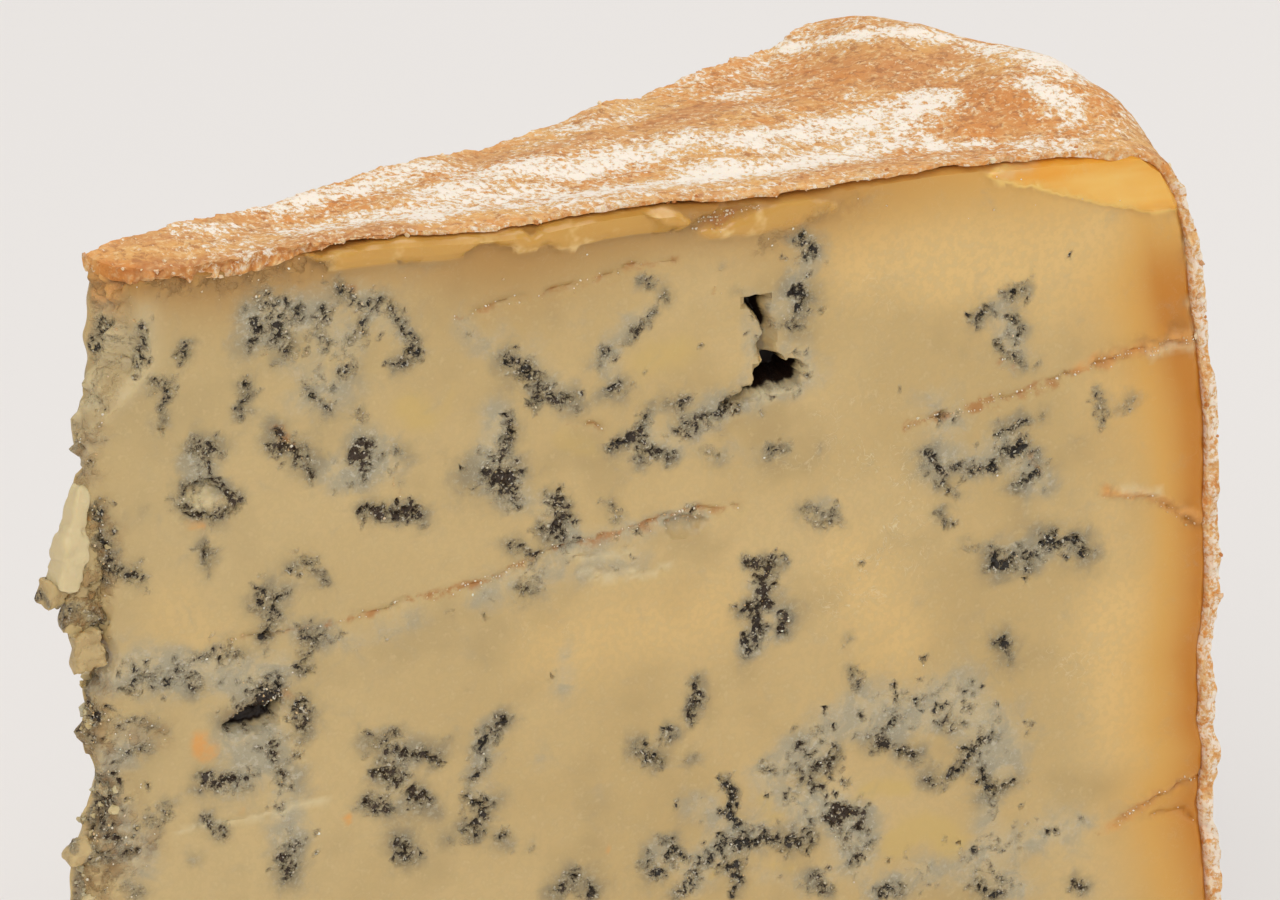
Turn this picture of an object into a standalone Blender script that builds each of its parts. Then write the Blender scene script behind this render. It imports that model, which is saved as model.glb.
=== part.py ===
# Blue cheese wedge: a narrow sector of half a drum, standing on the drum's middle cut.
# The frame is in metres with +Z up. The front cut face looks along -Y, the rind along +X.

import math

import bmesh
import bpy
import numpy as np
from mathutils import Matrix, Vector, noise

MM = 0.001

# Driving sizes of the wedge
DRUM_RADIUS = 105 * MM
HEIGHT = 107 * MM
WEDGE_ANGLE = math.radians(26.5)
AXIS_X = -53.5 * MM
AXIS_Y = -22.5 * MM

# The rind's side: narrower at the top rim, fuller half way round, with sunken folds
RIM_DROP = 5.2 * MM
RIM_REACH = 8.5 * MM
RIM_FULLNESS = 2.6 * MM
RIM_ROUNDING = 3.2 * MM
FOLDS = (
    {"depth": 17 * MM, "sunk": 0.9 * MM, "half": 2.0 * MM, "slant": -3 * MM},
    {"depth": 33.5 * MM, "sunk": 0.8 * MM, "half": 1.5 * MM, "slant": 2 * MM},
    {"depth": 58.5 * MM, "sunk": 1.7 * MM, "half": 2.4 * MM, "slant": 5 * MM},
    {"depth": 80 * MM, "sunk": 1.1 * MM, "half": 2.0 * MM, "slant": -4 * MM},
)
FOLD_FADE = 4.2

# The broken tip, as (depth below the top, distance from the drum's axis along the front cut)
TIP_BREAK = (
    (-5 * MM, 11.0 * MM),
    (7.5 * MM, 10.6 * MM),
    (9.0 * MM, 9.4 * MM),
    (12.8 * MM, 5.6 * MM),
    (22 * MM, 6.2 * MM),
    (32 * MM, 7.4 * MM),
    (38.5 * MM, 5.9 * MM),
    (44 * MM, 6.6 * MM),
    (51 * MM, 4.6 * MM),
    (70 * MM, 5.8 * MM),
    (90 * MM, 4.6 * MM),
    (115 * MM, 5.4 * MM),
)
TIP_SLANT_TOP = 1.1
TIP_SLANT_BELOW = 0.3
TIP_CRAG = 0.9 * MM
TIP_CRAG_SIZE = 3.4 * MM

# A slab that has come half away from the tip, and the pocket under it
SLAB = {"depth": 21.6 * MM, "x": 4.5 * MM, "y": -0.2 * MM, "size": (4.4 * MM, 2.4 * MM, 11.6 * MM)}
POCKETS = (
    {"depth": 27.6 * MM, "x": 4.6 * MM, "y": -1.2 * MM, "radii": (3.2 * MM, 2.6 * MM, 1.7 * MM)},
    {"depth": 30.6 * MM, "x": 6.8 * MM, "y": -0.6 * MM, "radii": (1.1 * MM, 2.2 * MM, 2.2 * MM)},
    {"depth": 44.6 * MM, "x": 4.4 * MM, "y": 0.6 * MM, "radii": (2.6 * MM, 3.0 * MM, 1.8 * MM)},
)

# Seams between the pressed curds, sunk into the front cut, each as its (x, depth) ends
SEAMS = (
    {"from": (25.6 * MM, 31.3 * MM), "to": (61.1 * MM, 26.1 * MM), "sunk": 0.45 * MM},
    {"from": (84.0 * MM, 20.4 * MM), "to": (104.5 * MM, 16.8 * MM), "sunk": 0.6 * MM},
    {"from": (96.0 * MM, 30.2 * MM), "to": (105.5 * MM, 33.6 * MM), "sunk": 0.8 * MM},
    {"from": (96.5 * MM, 59.2 * MM), "to": (106.0 * MM, 56.0 * MM), "sunk": 1.0 * MM},
    {"from": (98.0 * MM, 59.4 * MM), "to": (106.0 * MM, 63.0 * MM), "sunk": 0.8 * MM},
)
SEAM_HALF = 0.7 * MM

# The crust over the cut faces' top edge, and the flap of paste folded out under it
CRUST_DEEP = 1.6 * MM
CRUST_PROUD = 0.7 * MM
FLAP = {"from_x": 29 * MM, "to_x": 63 * MM, "deep": 1.7 * MM, "proud": 0.9 * MM}
SIDE_CRUST = 1.4 * MM
SIDE_CRUST_PROUD = 0.35 * MM

# Waviness of the skins and of the wire-cut faces
TOP_WAVE = 0.75 * MM
TOP_WAVE_SIZE = 13 * MM
TOP_RISE = 0.9 * MM
TOP_RISE_X = 14 * MM
SIDE_WAVE = 0.7 * MM
SIDE_WAVE_SIZE = 11 * MM
CUT_WAVE = 0.25 * MM
CUT_WAVE_SIZE = 16 * MM

# Openings of the mould veins in the front cut face, by place along it and depth below the top
HOLES = (
    {"x": 64.2 * MM, "depth": 15.0 * MM, "radii": (1.9 * MM, 3.6 * MM, 1.35 * MM), "turn": 0.0},
    {"x": 64.1 * MM, "depth": 11.2 * MM, "radii": (0.6 * MM, 2.4 * MM, 3.6 * MM), "turn": 0.16},
    {"x": 19.4 * MM, "depth": 38.8 * MM, "radii": (2.5 * MM, 2.0 * MM, 1.0 * MM), "turn": 0.0},
    {"x": 15.4 * MM, "depth": 18.7 * MM, "radii": (1.3 * MM, 1.3 * MM, 0.9 * MM), "turn": 0.2},
)

VOXEL = 1.15 * MM
BASE_SPARE = 4 * MM
MOST_TRIANGLES = 9000
SEED = Vector((3.7, 11.2, 5.9))


def clear_scene():
    for obj in list(bpy.data.objects):
        bpy.data.objects.remove(obj, do_unlink=True)


def new_collection(name, hidden=False):
    collection = bpy.data.collections.new(name)
    collection.hide_render = hidden
    bpy.context.scene.collection.children.link(collection)
    return collection


def cheese_material():
    made = bpy.data.materials.new("blue_veined_paste")
    made.use_nodes = True
    shader = made.node_tree.nodes["Principled BSDF"]
    shader.inputs["Base Color"].default_value = (0.66, 0.47, 0.21, 1)
    shader.inputs["Roughness"].default_value = 0.5
    shader.inputs["Metallic"].default_value = 0.0
    return made


def add_object(name, bm, collection, place=(0, 0, 0), turn=0.0):
    bmesh.ops.recalc_face_normals(bm, faces=bm.faces)
    mesh = bpy.data.meshes.new(name)
    bm.to_mesh(mesh)
    bm.free()
    obj = bpy.data.objects.new(name, mesh)
    obj.location = place
    obj.rotation_euler = (0, turn, 0)
    collection.objects.link(obj)
    return obj


def as_cutter(obj):
    obj.hide_render = True
    obj.display_type = "WIRE"
    return obj


def add_boolean(obj, other, operation):
    modifier = obj.modifiers.new(other.name, "BOOLEAN")
    modifier.operation = operation
    modifier.object = other
    modifier.solver = "EXACT"


def evaluated_mesh(obj):
    bpy.context.view_layer.update()
    graph = bpy.context.evaluated_depsgraph_get()
    return bpy.data.meshes.new_from_object(obj.evaluated_get(graph))


def cut_away(bm, point, outward):
    # Cuts the body by a plane, drops what lies outward of it and closes the cut.
    geometry = bm.verts[:] + bm.edges[:] + bm.faces[:]
    bmesh.ops.bisect_plane(
        bm, geom=geometry, plane_co=point, plane_no=outward, clear_outer=True
    )
    open_edges = [edge for edge in bm.edges if edge.is_boundary]
    bmesh.ops.holes_fill(bm, edges=open_edges)


def plain_wedge(collection):
    # A drum with a rounded top rim, cut down to its sector. The axis is at X = Y = 0.
    bm = bmesh.new()
    depth = HEIGHT + BASE_SPARE
    bmesh.ops.create_cone(
        bm,
        cap_ends=True,
        segments=240,
        radius1=DRUM_RADIUS,
        radius2=DRUM_RADIUS,
        depth=depth,
        matrix=Matrix.Translation((0, 0, depth / 2 - BASE_SPARE)),
    )
    rim = [
        edge
        for edge in bm.edges
        if all(vert.co.z > HEIGHT - MM / 10 for vert in edge.verts)
    ]
    bmesh.ops.bevel(
        bm, geom=rim, offset=RIM_ROUNDING, segments=4, profile=0.5, affect="EDGES"
    )
    cut_away(bm, (0, 0, 0), (0, -1, 0))
    rear = (-math.sin(WEDGE_ANGLE), math.cos(WEDGE_ANGLE), 0)
    cut_away(bm, (0, 0, 0), rear)
    return add_object("plain_wedge", bm, collection)


def tip_distance(depth, y):
    # How far from the axis the broken tip starts, at a depth and a distance behind the front cut.
    depths, distances = zip(*TIP_BREAK)
    front = np.interp(depth, depths, distances)
    below = 1 / (1 + math.exp(-(depth - 10 * MM) / (1.5 * MM)))
    slant = TIP_SLANT_TOP * (1 - below) + TIP_SLANT_BELOW * below
    crag = noise.noise(Vector((0, y, depth)) / TIP_CRAG_SIZE + SEED)
    return front - slant * y + crag * TIP_CRAG


def tip_cutter(collection):
    # A block whose +X face is the broken surface of the tip.
    reach = Vector((30 * MM, 60 * MM, HEIGHT + 40 * MM))
    bm = bmesh.new()
    bmesh.ops.create_cube(bm, size=1, matrix=Matrix.Diagonal((*reach, 1)))
    bmesh.ops.translate(bm, verts=bm.verts, vec=(-reach.x / 2, 0, HEIGHT / 2))
    facing = [face for face in bm.faces if face.normal.x > 0.9]
    across = {edge for face in facing for edge in face.edges}
    bmesh.ops.subdivide_edges(bm, edges=list(across), cuts=70, use_grid_fill=True)
    for vert in bm.verts:
        if vert.co.x > -MM:
            vert.co.x = tip_distance(HEIGHT - vert.co.z, vert.co.y)
    return as_cutter(add_object("tip_break", bm, collection))


def rough_lump(name, radii, place, collection, turn=0.0, crag=0.3):
    bm = bmesh.new()
    bmesh.ops.create_icosphere(bm, subdivisions=3, radius=1)
    for vert in bm.verts:
        swell = 1 + crag * noise.noise(vert.co * 1.6 + Vector(place) * 900)
        vert.co = Vector(vert.co[i] * radii[i] * swell for i in range(3))
    return add_object(name, bm, collection, place, turn)


def tip_slab(collection):
    bm = bmesh.new()
    bmesh.ops.create_cube(bm, size=1, matrix=Matrix.Diagonal((*SLAB["size"], 1)))
    bmesh.ops.bevel(bm, geom=bm.edges[:], offset=0.5 * MM, segments=2, affect="EDGES")
    place = (SLAB["x"], SLAB["y"], HEIGHT - SLAB["depth"])
    return as_cutter(add_object("tip_slab", bm, collection, place, turn=0.2))


def broken_wedge(collection):
    # The sector with its tip broken off, the loose slab and the pockets, as one even mesh.
    wedge = plain_wedge(collection)
    add_boolean(wedge, tip_cutter(collection), "DIFFERENCE")
    add_boolean(wedge, tip_slab(collection), "UNION")
    for number, pocket in enumerate(POCKETS):
        place = (pocket["x"], pocket["y"], HEIGHT - pocket["depth"])
        lump = rough_lump(f"tip_pocket_{number}", pocket["radii"], place, collection)
        add_boolean(wedge, as_cutter(lump), "DIFFERENCE")
    remesh = wedge.modifiers.new("even", "REMESH")
    remesh.mode = "VOXEL"
    remesh.voxel_size = VOXEL
    mesh = evaluated_mesh(wedge)
    wedge.modifiers.clear()
    as_cutter(wedge)
    return mesh


def wave(points, size, shift=0.0):
    offset = SEED + Vector((shift, shift, shift))
    return np.array([noise.noise(Vector(p) / size + offset) for p in points])


def step(value, low, high):
    t = np.clip((value - low) / (high - low), 0, 1)
    return t * t * (3 - 2 * t)


def rind_radius(depth, turn):
    # The drum's radius at a depth below its top and an angle round it.
    radius = DRUM_RADIUS - RIM_DROP * np.exp(-np.maximum(depth, 0) / RIM_REACH)
    across = np.clip(turn / WEDGE_ANGLE, 0, 1)
    near_top = np.exp(-np.maximum(depth, 0) / (3 * RIM_REACH))
    radius += RIM_FULLNESS * np.sin(math.pi * across) * near_top
    for number, fold in enumerate(FOLDS):
        off = (depth - fold["depth"] - fold["slant"] * across) / fold["half"]
        fade = 0.6 + 0.4 * np.cos(FOLD_FADE * across + number)
        radius -= fold["sunk"] * fade * np.exp(-off * off)
    return radius


def shape_rind(points):
    depth = HEIGHT - points[:, 2]
    reach = np.hypot(points[:, 0], points[:, 1])
    turn = np.arctan2(points[:, 1], points[:, 0])
    outer = step(reach, 0.72 * DRUM_RADIUS, 0.97 * DRUM_RADIUS)
    wanted = rind_radius(depth, turn) + SIDE_WAVE * wave(points, SIDE_WAVE_SIZE, 4.1)
    grow = 1 + outer * (wanted / DRUM_RADIUS - 1)
    points[:, :2] *= grow[:, None]


def shape_top(points):
    near = step(points[:, 2], HEIGHT - 22 * MM, HEIGHT)
    lift = TOP_WAVE * wave(points, TOP_WAVE_SIZE, 7.3)
    off = (points[:, 0] - TOP_RISE_X) / (9 * MM)
    lift += TOP_RISE * np.exp(-off * off)
    points[:, 2] += near * lift


def behind_front(points):
    return points[:, 1]


def before_rear(points):
    return points[:, 0] * math.sin(WEDGE_ANGLE) - points[:, 1] * math.cos(WEDGE_ANGLE)


def seam_depth(points):
    # How far the front cut sinks along its seams.
    at = np.stack([points[:, 0], HEIGHT - points[:, 2]], axis=1)
    sunk = np.zeros(len(at))
    for seam in SEAMS:
        start, end = np.array(seam["from"]), np.array(seam["to"])
        run = end - start
        along = np.clip((at - start) @ run / (run @ run), 0, 1)
        off = np.linalg.norm(at - start - along[:, None] * run, axis=1) / SEAM_HALF
        sunk = np.maximum(sunk, seam["sunk"] * np.exp(-off * off))
    return sunk


def shape_cut_face(points, inward, outward, flap):
    # Waviness, the crust's overhang along the top and the side, and the front's folded flap.
    depth = HEIGHT - points[:, 2]
    reach = np.hypot(points[:, 0], points[:, 1])
    near = 1 - step(inward, 0.5 * MM, 6 * MM)
    out = CUT_WAVE * wave(points, CUT_WAVE_SIZE, 2.2)
    edge = CRUST_DEEP * (1 + 0.5 * wave(points, 6 * MM, 9.5))
    out += CRUST_PROUD * (1 - step(depth, edge, edge + MM))
    rind_edge = rind_radius(depth, np.zeros_like(depth)) - SIDE_CRUST
    out += SIDE_CRUST_PROUD * step(reach, rind_edge - MM, rind_edge)
    if flap:
        along = step(points[:, 0], flap["from_x"], flap["from_x"] + 4 * MM)
        along *= 1 - step(points[:, 0], flap["to_x"] - 6 * MM, flap["to_x"])
        lower = flap["deep"] * (1 + 0.6 * wave(points, 5 * MM, 1.4))
        out += flap["proud"] * along * (1 - step(depth, lower, lower + MM))
        out -= seam_depth(points)
    points += (near * out)[:, None] * np.array(outward)[None, :]


def shape_tip(points):
    near = 1 - step(points[:, 0], 8 * MM, 16 * MM)
    crag = 0.8 * MM * wave(points, 2.6 * MM, 6.2) + 0.6 * MM * wave(points, 5 * MM, 8.8)
    points[:, 0] += near * crag


def shaped_points(mesh):
    points = np.empty(len(mesh.vertices) * 3)
    mesh.vertices.foreach_get("co", points)
    points = points.reshape(-1, 3)
    front, rear = behind_front(points), before_rear(points)
    shape_tip(points)
    shape_cut_face(points, front, (0, -1, 0), FLAP)
    rear_out = (-math.sin(WEDGE_ANGLE), math.cos(WEDGE_ANGLE), 0)
    shape_cut_face(points, rear, rear_out, None)
    shape_rind(points)
    shape_top(points)
    return points


def hole_cutters(collection):
    cutters = []
    for number, hole in enumerate(HOLES):
        place = (hole["x"], -CRUST_PROUD / 2, HEIGHT - hole["depth"])
        name = f"vein_hole_{number}"
        lump = rough_lump(name, hole["radii"], place, collection, hole["turn"], 0.5)
        cutters.append(as_cutter(lump))
    return cutters


def base_cutter(collection):
    # Everything below the flat base that the wedge stands on.
    thick = 4 * BASE_SPARE
    bm = bmesh.new()
    size = (3 * DRUM_RADIUS, 3 * DRUM_RADIUS, thick)
    bmesh.ops.create_cube(bm, size=1, matrix=Matrix.Diagonal((*size, 1)))
    place = (DRUM_RADIUS / 2, 0, -thick / 2)
    return as_cutter(add_object("below_base", bm, collection, place))


def cheese_wedge(parts, cutters):
    mesh = broken_wedge(cutters)
    mesh.vertices.foreach_set("co", shaped_points(mesh).ravel())
    mesh.name = "cheese_wedge"
    wedge = bpy.data.objects.new("cheese_wedge", mesh)
    parts.objects.link(wedge)
    reduce = wedge.modifiers.new("reduce", "DECIMATE")
    reduce.ratio = MOST_TRIANGLES / (2 * len(mesh.polygons))
    for cutter in hole_cutters(cutters):
        add_boolean(wedge, cutter, "DIFFERENCE")
    add_boolean(wedge, base_cutter(cutters), "DIFFERENCE")
    finished = evaluated_mesh(wedge)
    wedge.modifiers.clear()
    wedge.data = finished
    finished.transform(Matrix.Translation((AXIS_X, AXIS_Y, 0)))
    finished.shade_smooth()
    finished.set_sharp_from_angle(angle=math.radians(40))
    finished.materials.clear()
    finished.materials.append(cheese_material())
    return wedge


def main():
    clear_scene()
    parts = new_collection("blue_cheese_wedge")
    cutters = new_collection("cutters", hidden=True)
    cheese_wedge(parts, cutters)


main()
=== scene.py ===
import math

import bpy
import numpy as np
from mathutils import Matrix, Vector, noise


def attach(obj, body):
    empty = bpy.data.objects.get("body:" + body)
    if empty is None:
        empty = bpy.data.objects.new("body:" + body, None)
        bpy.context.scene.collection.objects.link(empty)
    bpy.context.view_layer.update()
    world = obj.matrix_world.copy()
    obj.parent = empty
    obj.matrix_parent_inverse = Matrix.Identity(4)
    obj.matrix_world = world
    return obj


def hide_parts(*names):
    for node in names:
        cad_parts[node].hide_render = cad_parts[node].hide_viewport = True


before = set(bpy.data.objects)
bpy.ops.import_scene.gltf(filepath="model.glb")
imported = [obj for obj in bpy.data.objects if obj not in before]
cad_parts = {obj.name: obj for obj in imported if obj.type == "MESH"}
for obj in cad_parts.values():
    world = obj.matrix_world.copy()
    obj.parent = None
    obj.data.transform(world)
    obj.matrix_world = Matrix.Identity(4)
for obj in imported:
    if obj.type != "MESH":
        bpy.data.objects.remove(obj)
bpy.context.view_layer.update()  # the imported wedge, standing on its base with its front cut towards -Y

mm = 0.001

# The half drum that the wedge is cut from, with its axis at x = y = 0 while the pieces are modelled
drum = {
    "radius": 105 * mm,
    "height": 107 * mm,
    "angle": math.radians(26.5),
    "axisPlace": Vector((-53.5 * mm, -22.5 * mm, 0)),
    "rimReach": 8.5 * mm,
    "rimFullness": 2.6 * mm,
    "rimRounding": 3.2 * mm,
    "rimLine": (  # the crust's outer edge on the front cut, in px
        (1150, 140), (1172, 166), (1189, 205), (1193, 220), (1198, 240), (1201, 260), (1203, 280),
        (1205, 300), (1207, 320), (1210, 345), (1214, 375), (1217, 400), (1218, 450), (1217, 500),
        (1219, 550), (1218, 600), (1216, 622), (1212, 650), (1213, 690), (1212, 720), (1217, 745),
        (1215, 765), (1210, 800), (1213, 825), (1216, 850), (1220, 900),
    ),
    "skyline": (  # how much the top's far edge is raised, in mm, by its place across the photograph in px
        (100, 0.5), (200, 0.6), (280, 0.2), (320, -0.1), (400, -0.7), (440, -0.9), (480, -2.1),
        (560, -1.3), (600, -0.5), (640, -1.1), (720, -0.9), (770, -1.5), (820, -0.5), (850, 0.5),
        (880, 1.0), (960, 1.6), (1000, 2.2), (1050, 2.4), (1090, 2.0), (1120, 2.3), (1160, 1.6),
    ),
    "folds": (  # sunken folds behind the cut: depth below the top, how far in, half width, slant
        (17 * mm, 0.9 * mm, 2.0 * mm, -3 * mm), (33.5 * mm, 0.8 * mm, 1.5 * mm, 2 * mm),
        (58.5 * mm, 1.7 * mm, 2.4 * mm, 5 * mm), (80 * mm, 1.1 * mm, 2.0 * mm, -4 * mm),
    ),
    "foldFade": 4.2,
    "sideWave": (0.7 * mm, 11 * mm, 4.1),  # height, size and shift of a waviness
    "topWave": (0.75 * mm, 13 * mm, 7.3),
    "cutWave": (0.25 * mm, 16 * mm, 2.2),
    "topRise": (0.9 * mm, 14 * mm, 9 * mm),
    "frontRise": 0.95 * mm,  # the top's edge along the front cut stands this much higher
    "noiseStart": Vector((3.7, 11.2, 5.9)),
}

# The broken tip: depth below the top, distance from the drum's axis along the front cut
tip = {
    "edge": (
        (-5, 11.0), (7.5, 10.6), (9.0, 9.4), (12.8, 5.6), (22, 6.2), (32, 7.4), (38.5, 5.9), (44, 6.6),
        (51, 4.6), (70, 5.8), (90, 4.6), (115, 5.4),
    ),
    "lip": 0.55,  # how far the paste's edge stands proud beside the break
    "crease": 0.5 * mm,
    "rough": 0.7 * mm,
    "lump": 0.6 * mm,
    "slantTop": 1.1,
    "slantBelow": 0.3,
    "crag": (0.9 * mm, 3.4 * mm),
    "pocketCrag": 0.3,
    "pockets": (  # depth, x, y, radii
        (27.6, 4.6, -1.2, (3.2, 2.6, 1.7)),
        (30.6, 6.8, -0.6, (1.1, 2.2, 2.2)),
        (44.6, 4.4, 0.6, (2.6, 3.0, 1.8)),
    ),
}


# camera, as the photograph was taken

photoView = {
    "azimuth": -21.37,
    "elevation": 20.97,
    "distance": 571.4 * mm,
    "lens": 206.5,
    "sensor": 36,
    "aimRight": 48.77 * mm,
    "aimBelowTop": 12.74 * mm,
    "width": 1280,
    "height": 900,
}


def viewAxes():
    a, e = math.radians(photoView["azimuth"]), math.radians(photoView["elevation"])
    right = Vector((math.cos(a), math.sin(a), 0))
    back = Vector((math.sin(a) * math.cos(e), -math.cos(a) * math.cos(e), math.sin(e)))
    return right, back.cross(right), back


def viewPoint():
    right, up, back = viewAxes()
    aim = drum["axisPlace"] + right * photoView["aimRight"]
    aim.z = drum["height"] - photoView["aimBelowTop"]
    return aim + back * photoView["distance"]


def addCamera():
    right, up, back = viewAxes()
    bpy.ops.object.camera_add(location=viewPoint())
    camera = bpy.context.object
    camera.rotation_euler = Matrix((right, up, back)).transposed().to_euler()
    camera.data.lens = photoView["lens"]
    camera.data.sensor_width = photoView["sensor"]
    camera.data.clip_start = 0.02
    camera.data.clip_end = 40
    bpy.context.scene.camera = camera


def rayThrough(pixel):
    right, up, back = viewAxes()
    focal = photoView["lens"] / photoView["sensor"] * photoView["width"]
    across = (pixel[0] - photoView["width"] / 2) / focal
    down = (pixel[1] - photoView["height"] / 2) / focal
    return right * across - up * down - back


def onFront(pixel):  # a photo pixel to (x, depth below the top) on the front cut, in mm
    ray, start = rayThrough(pixel), viewPoint() - drum["axisPlace"]
    at = start - ray * (start.y / ray.y)
    return at.x / mm, (drum["height"] - at.z) / mm


def acrossPhoto(points):  # how far across the photo each point is seen, in px
    right, up, back = viewAxes()
    seen = points - np.array(viewPoint() - drum["axisPlace"])
    sideways = seen @ np.array(right) / (seen @ np.array(back))
    return photoView["width"] / 2 - sideways * photoView["lens"] / photoView["sensor"] * photoView["width"]


def onTop(pixel):  # a photo pixel to (x, y) on the drum's top, in mm
    ray, start = rayThrough(pixel), viewPoint() - drum["axisPlace"]
    at = start + ray * ((drum["height"] - start.z) / ray.z)
    return at.x / mm, at.y / mm


# light and floor

studio = {
    "floorSize": 14,
    "floorColour": (0.815, 0.79, 0.775, 1),
    "backdrop": (0.80, 0.775, 0.755, 1),
    "ambient": 0.39,
    "lights": (  # name, place, aim height, size, watts, colour
        ("keyLeft", (-0.55, -1.0, 1.05), 0.06, 0.9, 10.2, (1.0, 0.97, 0.93)),
        ("topBack", (0.25, 0.55, 1.15), 0.08, 1.1, 7.6, (1.0, 0.985, 0.96)),
        ("fillRight", (1.05, -0.75, 0.55), 0.06, 0.8, 3.2, (0.97, 0.985, 1.0)),
    ),
}


def addLights():
    for name, place, aimHeight, size, watts, colour in studio["lights"]:
        bpy.ops.object.light_add(type="AREA", location=place)
        light = bpy.context.object
        light.name = name
        away = Vector(place) - Vector((0, 0, aimHeight))
        light.rotation_euler = away.to_track_quat("Z", "Y").to_euler()
        light.data.size = size
        light.data.energy = watts
        light.data.color = colour
    world = bpy.data.worlds.new("softRoom")
    bpy.context.scene.world = world
    world.use_nodes = True
    tree = world.node_tree
    seen = tree.nodes["Background"]
    seen.inputs["Color"].default_value = studio["backdrop"]
    lit = tree.nodes.new("ShaderNodeBackground")
    lit.inputs["Color"].default_value = (1, 1, 1, 1)
    lit.inputs["Strength"].default_value = studio["ambient"]
    mix = tree.nodes.new("ShaderNodeMixShader")
    path = tree.nodes.new("ShaderNodeLightPath")
    tree.links.new(path.outputs["Is Camera Ray"], mix.inputs["Fac"])
    tree.links.new(lit.outputs[0], mix.inputs[1])
    tree.links.new(seen.outputs[0], mix.inputs[2])
    tree.links.new(mix.outputs[0], tree.nodes["World Output"].inputs["Surface"])


def newMaterial(name):
    material = bpy.data.materials.new(name)
    material.use_nodes = True
    tree = material.node_tree
    shader = tree.nodes["Principled BSDF"]
    shader.location, tree.nodes["Material Output"].location = (2600, 0), (2900, 0)
    return material, tree, shader


def addFloor():
    clearSelection()
    bpy.ops.mesh.primitive_plane_add(size=studio["floorSize"], location=(0, 0, 0))
    floor = bpy.context.object
    floor.name = "paleFloor"
    material, tree, shader = newMaterial("palePaper")
    shader.inputs["Base Color"].default_value = studio["floorColour"]
    shader.inputs["Roughness"].default_value = 0.9
    floor.data.materials.append(material)


# small helpers for modelling

def clearSelection():
    if bpy.context.object and bpy.context.object.mode != "OBJECT":
        bpy.ops.object.mode_set(mode="OBJECT")
    bpy.ops.object.select_all(action="DESELECT")


def makeActive(obj):
    clearSelection()
    obj.select_set(True)
    bpy.context.view_layer.objects.active = obj


def selectFaces(obj, test):  # test gets arrays of face centres and normals
    makeActive(obj)
    count = len(obj.data.polygons)
    centres, normals = np.empty(count * 3), np.empty(count * 3)
    obj.data.polygons.foreach_get("center", centres)
    obj.data.polygons.foreach_get("normal", normals)
    picked = test(centres.reshape(-1, 3), normals.reshape(-1, 3))
    for part in (obj.data.vertices, obj.data.edges):
        part.foreach_set("select", np.zeros(len(part), bool))
    obj.data.polygons.foreach_set("select", picked)
    bpy.ops.object.mode_set(mode="EDIT")
    bpy.ops.mesh.select_mode(type="FACE")


def applyModifier(obj, kind, **settings):
    makeActive(obj)
    modifier = obj.modifiers.new(kind.lower(), kind)
    for key, value in settings.items():
        setattr(modifier, key, value)
    bpy.ops.object.modifier_apply(modifier=modifier.name)


def cutWith(obj, cutter):
    applyModifier(obj, "BOOLEAN", object=cutter, operation="DIFFERENCE", solver="EXACT")
    bpy.data.objects.remove(cutter, do_unlink=True)


def pointsOf(obj):
    points = np.empty(len(obj.data.vertices) * 3)
    obj.data.vertices.foreach_get("co", points)
    return points.reshape(-1, 3)


def putPoints(obj, points):
    obj.data.vertices.foreach_set("co", points.ravel())
    obj.data.update()


def wave(points, size, shift):
    start = drum["noiseStart"] + Vector((shift, shift, shift))
    return np.array([noise.noise(Vector(p) / size + start) for p in points])


def waves(points, *kinds):  # a sum of waves, each given as its height, size and shift
    total = 0.0
    for high, size, shift in kinds:
        total = total + high * wave(points, size, shift)
    return total


def lumpy(points, size, shift, where):
    # Rounded lumps with creases between them, 0 to 1, where the mask says so
    start = drum["noiseStart"] + Vector((shift, shift, shift))
    heights = np.zeros(len(points))
    for i in np.nonzero(where)[0]:
        near = noise.voronoi(Vector(points[i]) / size + start)[0]
        heights[i] = min(1.0, 1.5 * (near[1] - near[0]))
    return heights


def step(value, low, high):
    t = np.clip((value - low) / (high - low), 0, 1)
    return t * t * (3 - 2 * t)


def paintAttribute(obj, name, values):
    layer = obj.data.attributes.new(name, "FLOAT", "POINT")
    layer.data.foreach_set("value", np.asarray(values, np.float32))


def paintMissing(obj):  # marks that a piece doesn't have are painted as nothing
    for name in paintedMarks:
        if name not in obj.data.attributes:
            paintAttribute(obj, name, np.zeros(len(obj.data.vertices)))


def joinAll(parts, name):
    clearSelection()
    for part in parts:
        part.select_set(True)
    bpy.context.view_layer.objects.active = parts[0]
    bpy.ops.object.join()
    joined = bpy.context.object
    joined.name = name
    joined.data.name = name
    return joined


def finishPiece(obj, material):
    makeActive(obj)
    bpy.ops.object.transform_apply(location=True, rotation=True, scale=True)
    obj.data.transform(Matrix.Translation(drum["axisPlace"]))
    obj.data.materials.clear()
    obj.data.materials.append(material)
    bpy.ops.object.shade_smooth_by_angle(angle=math.radians(50))
    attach(obj, "root")
    print(f"{obj.name}: {len(obj.data.polygons)} faces")
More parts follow.
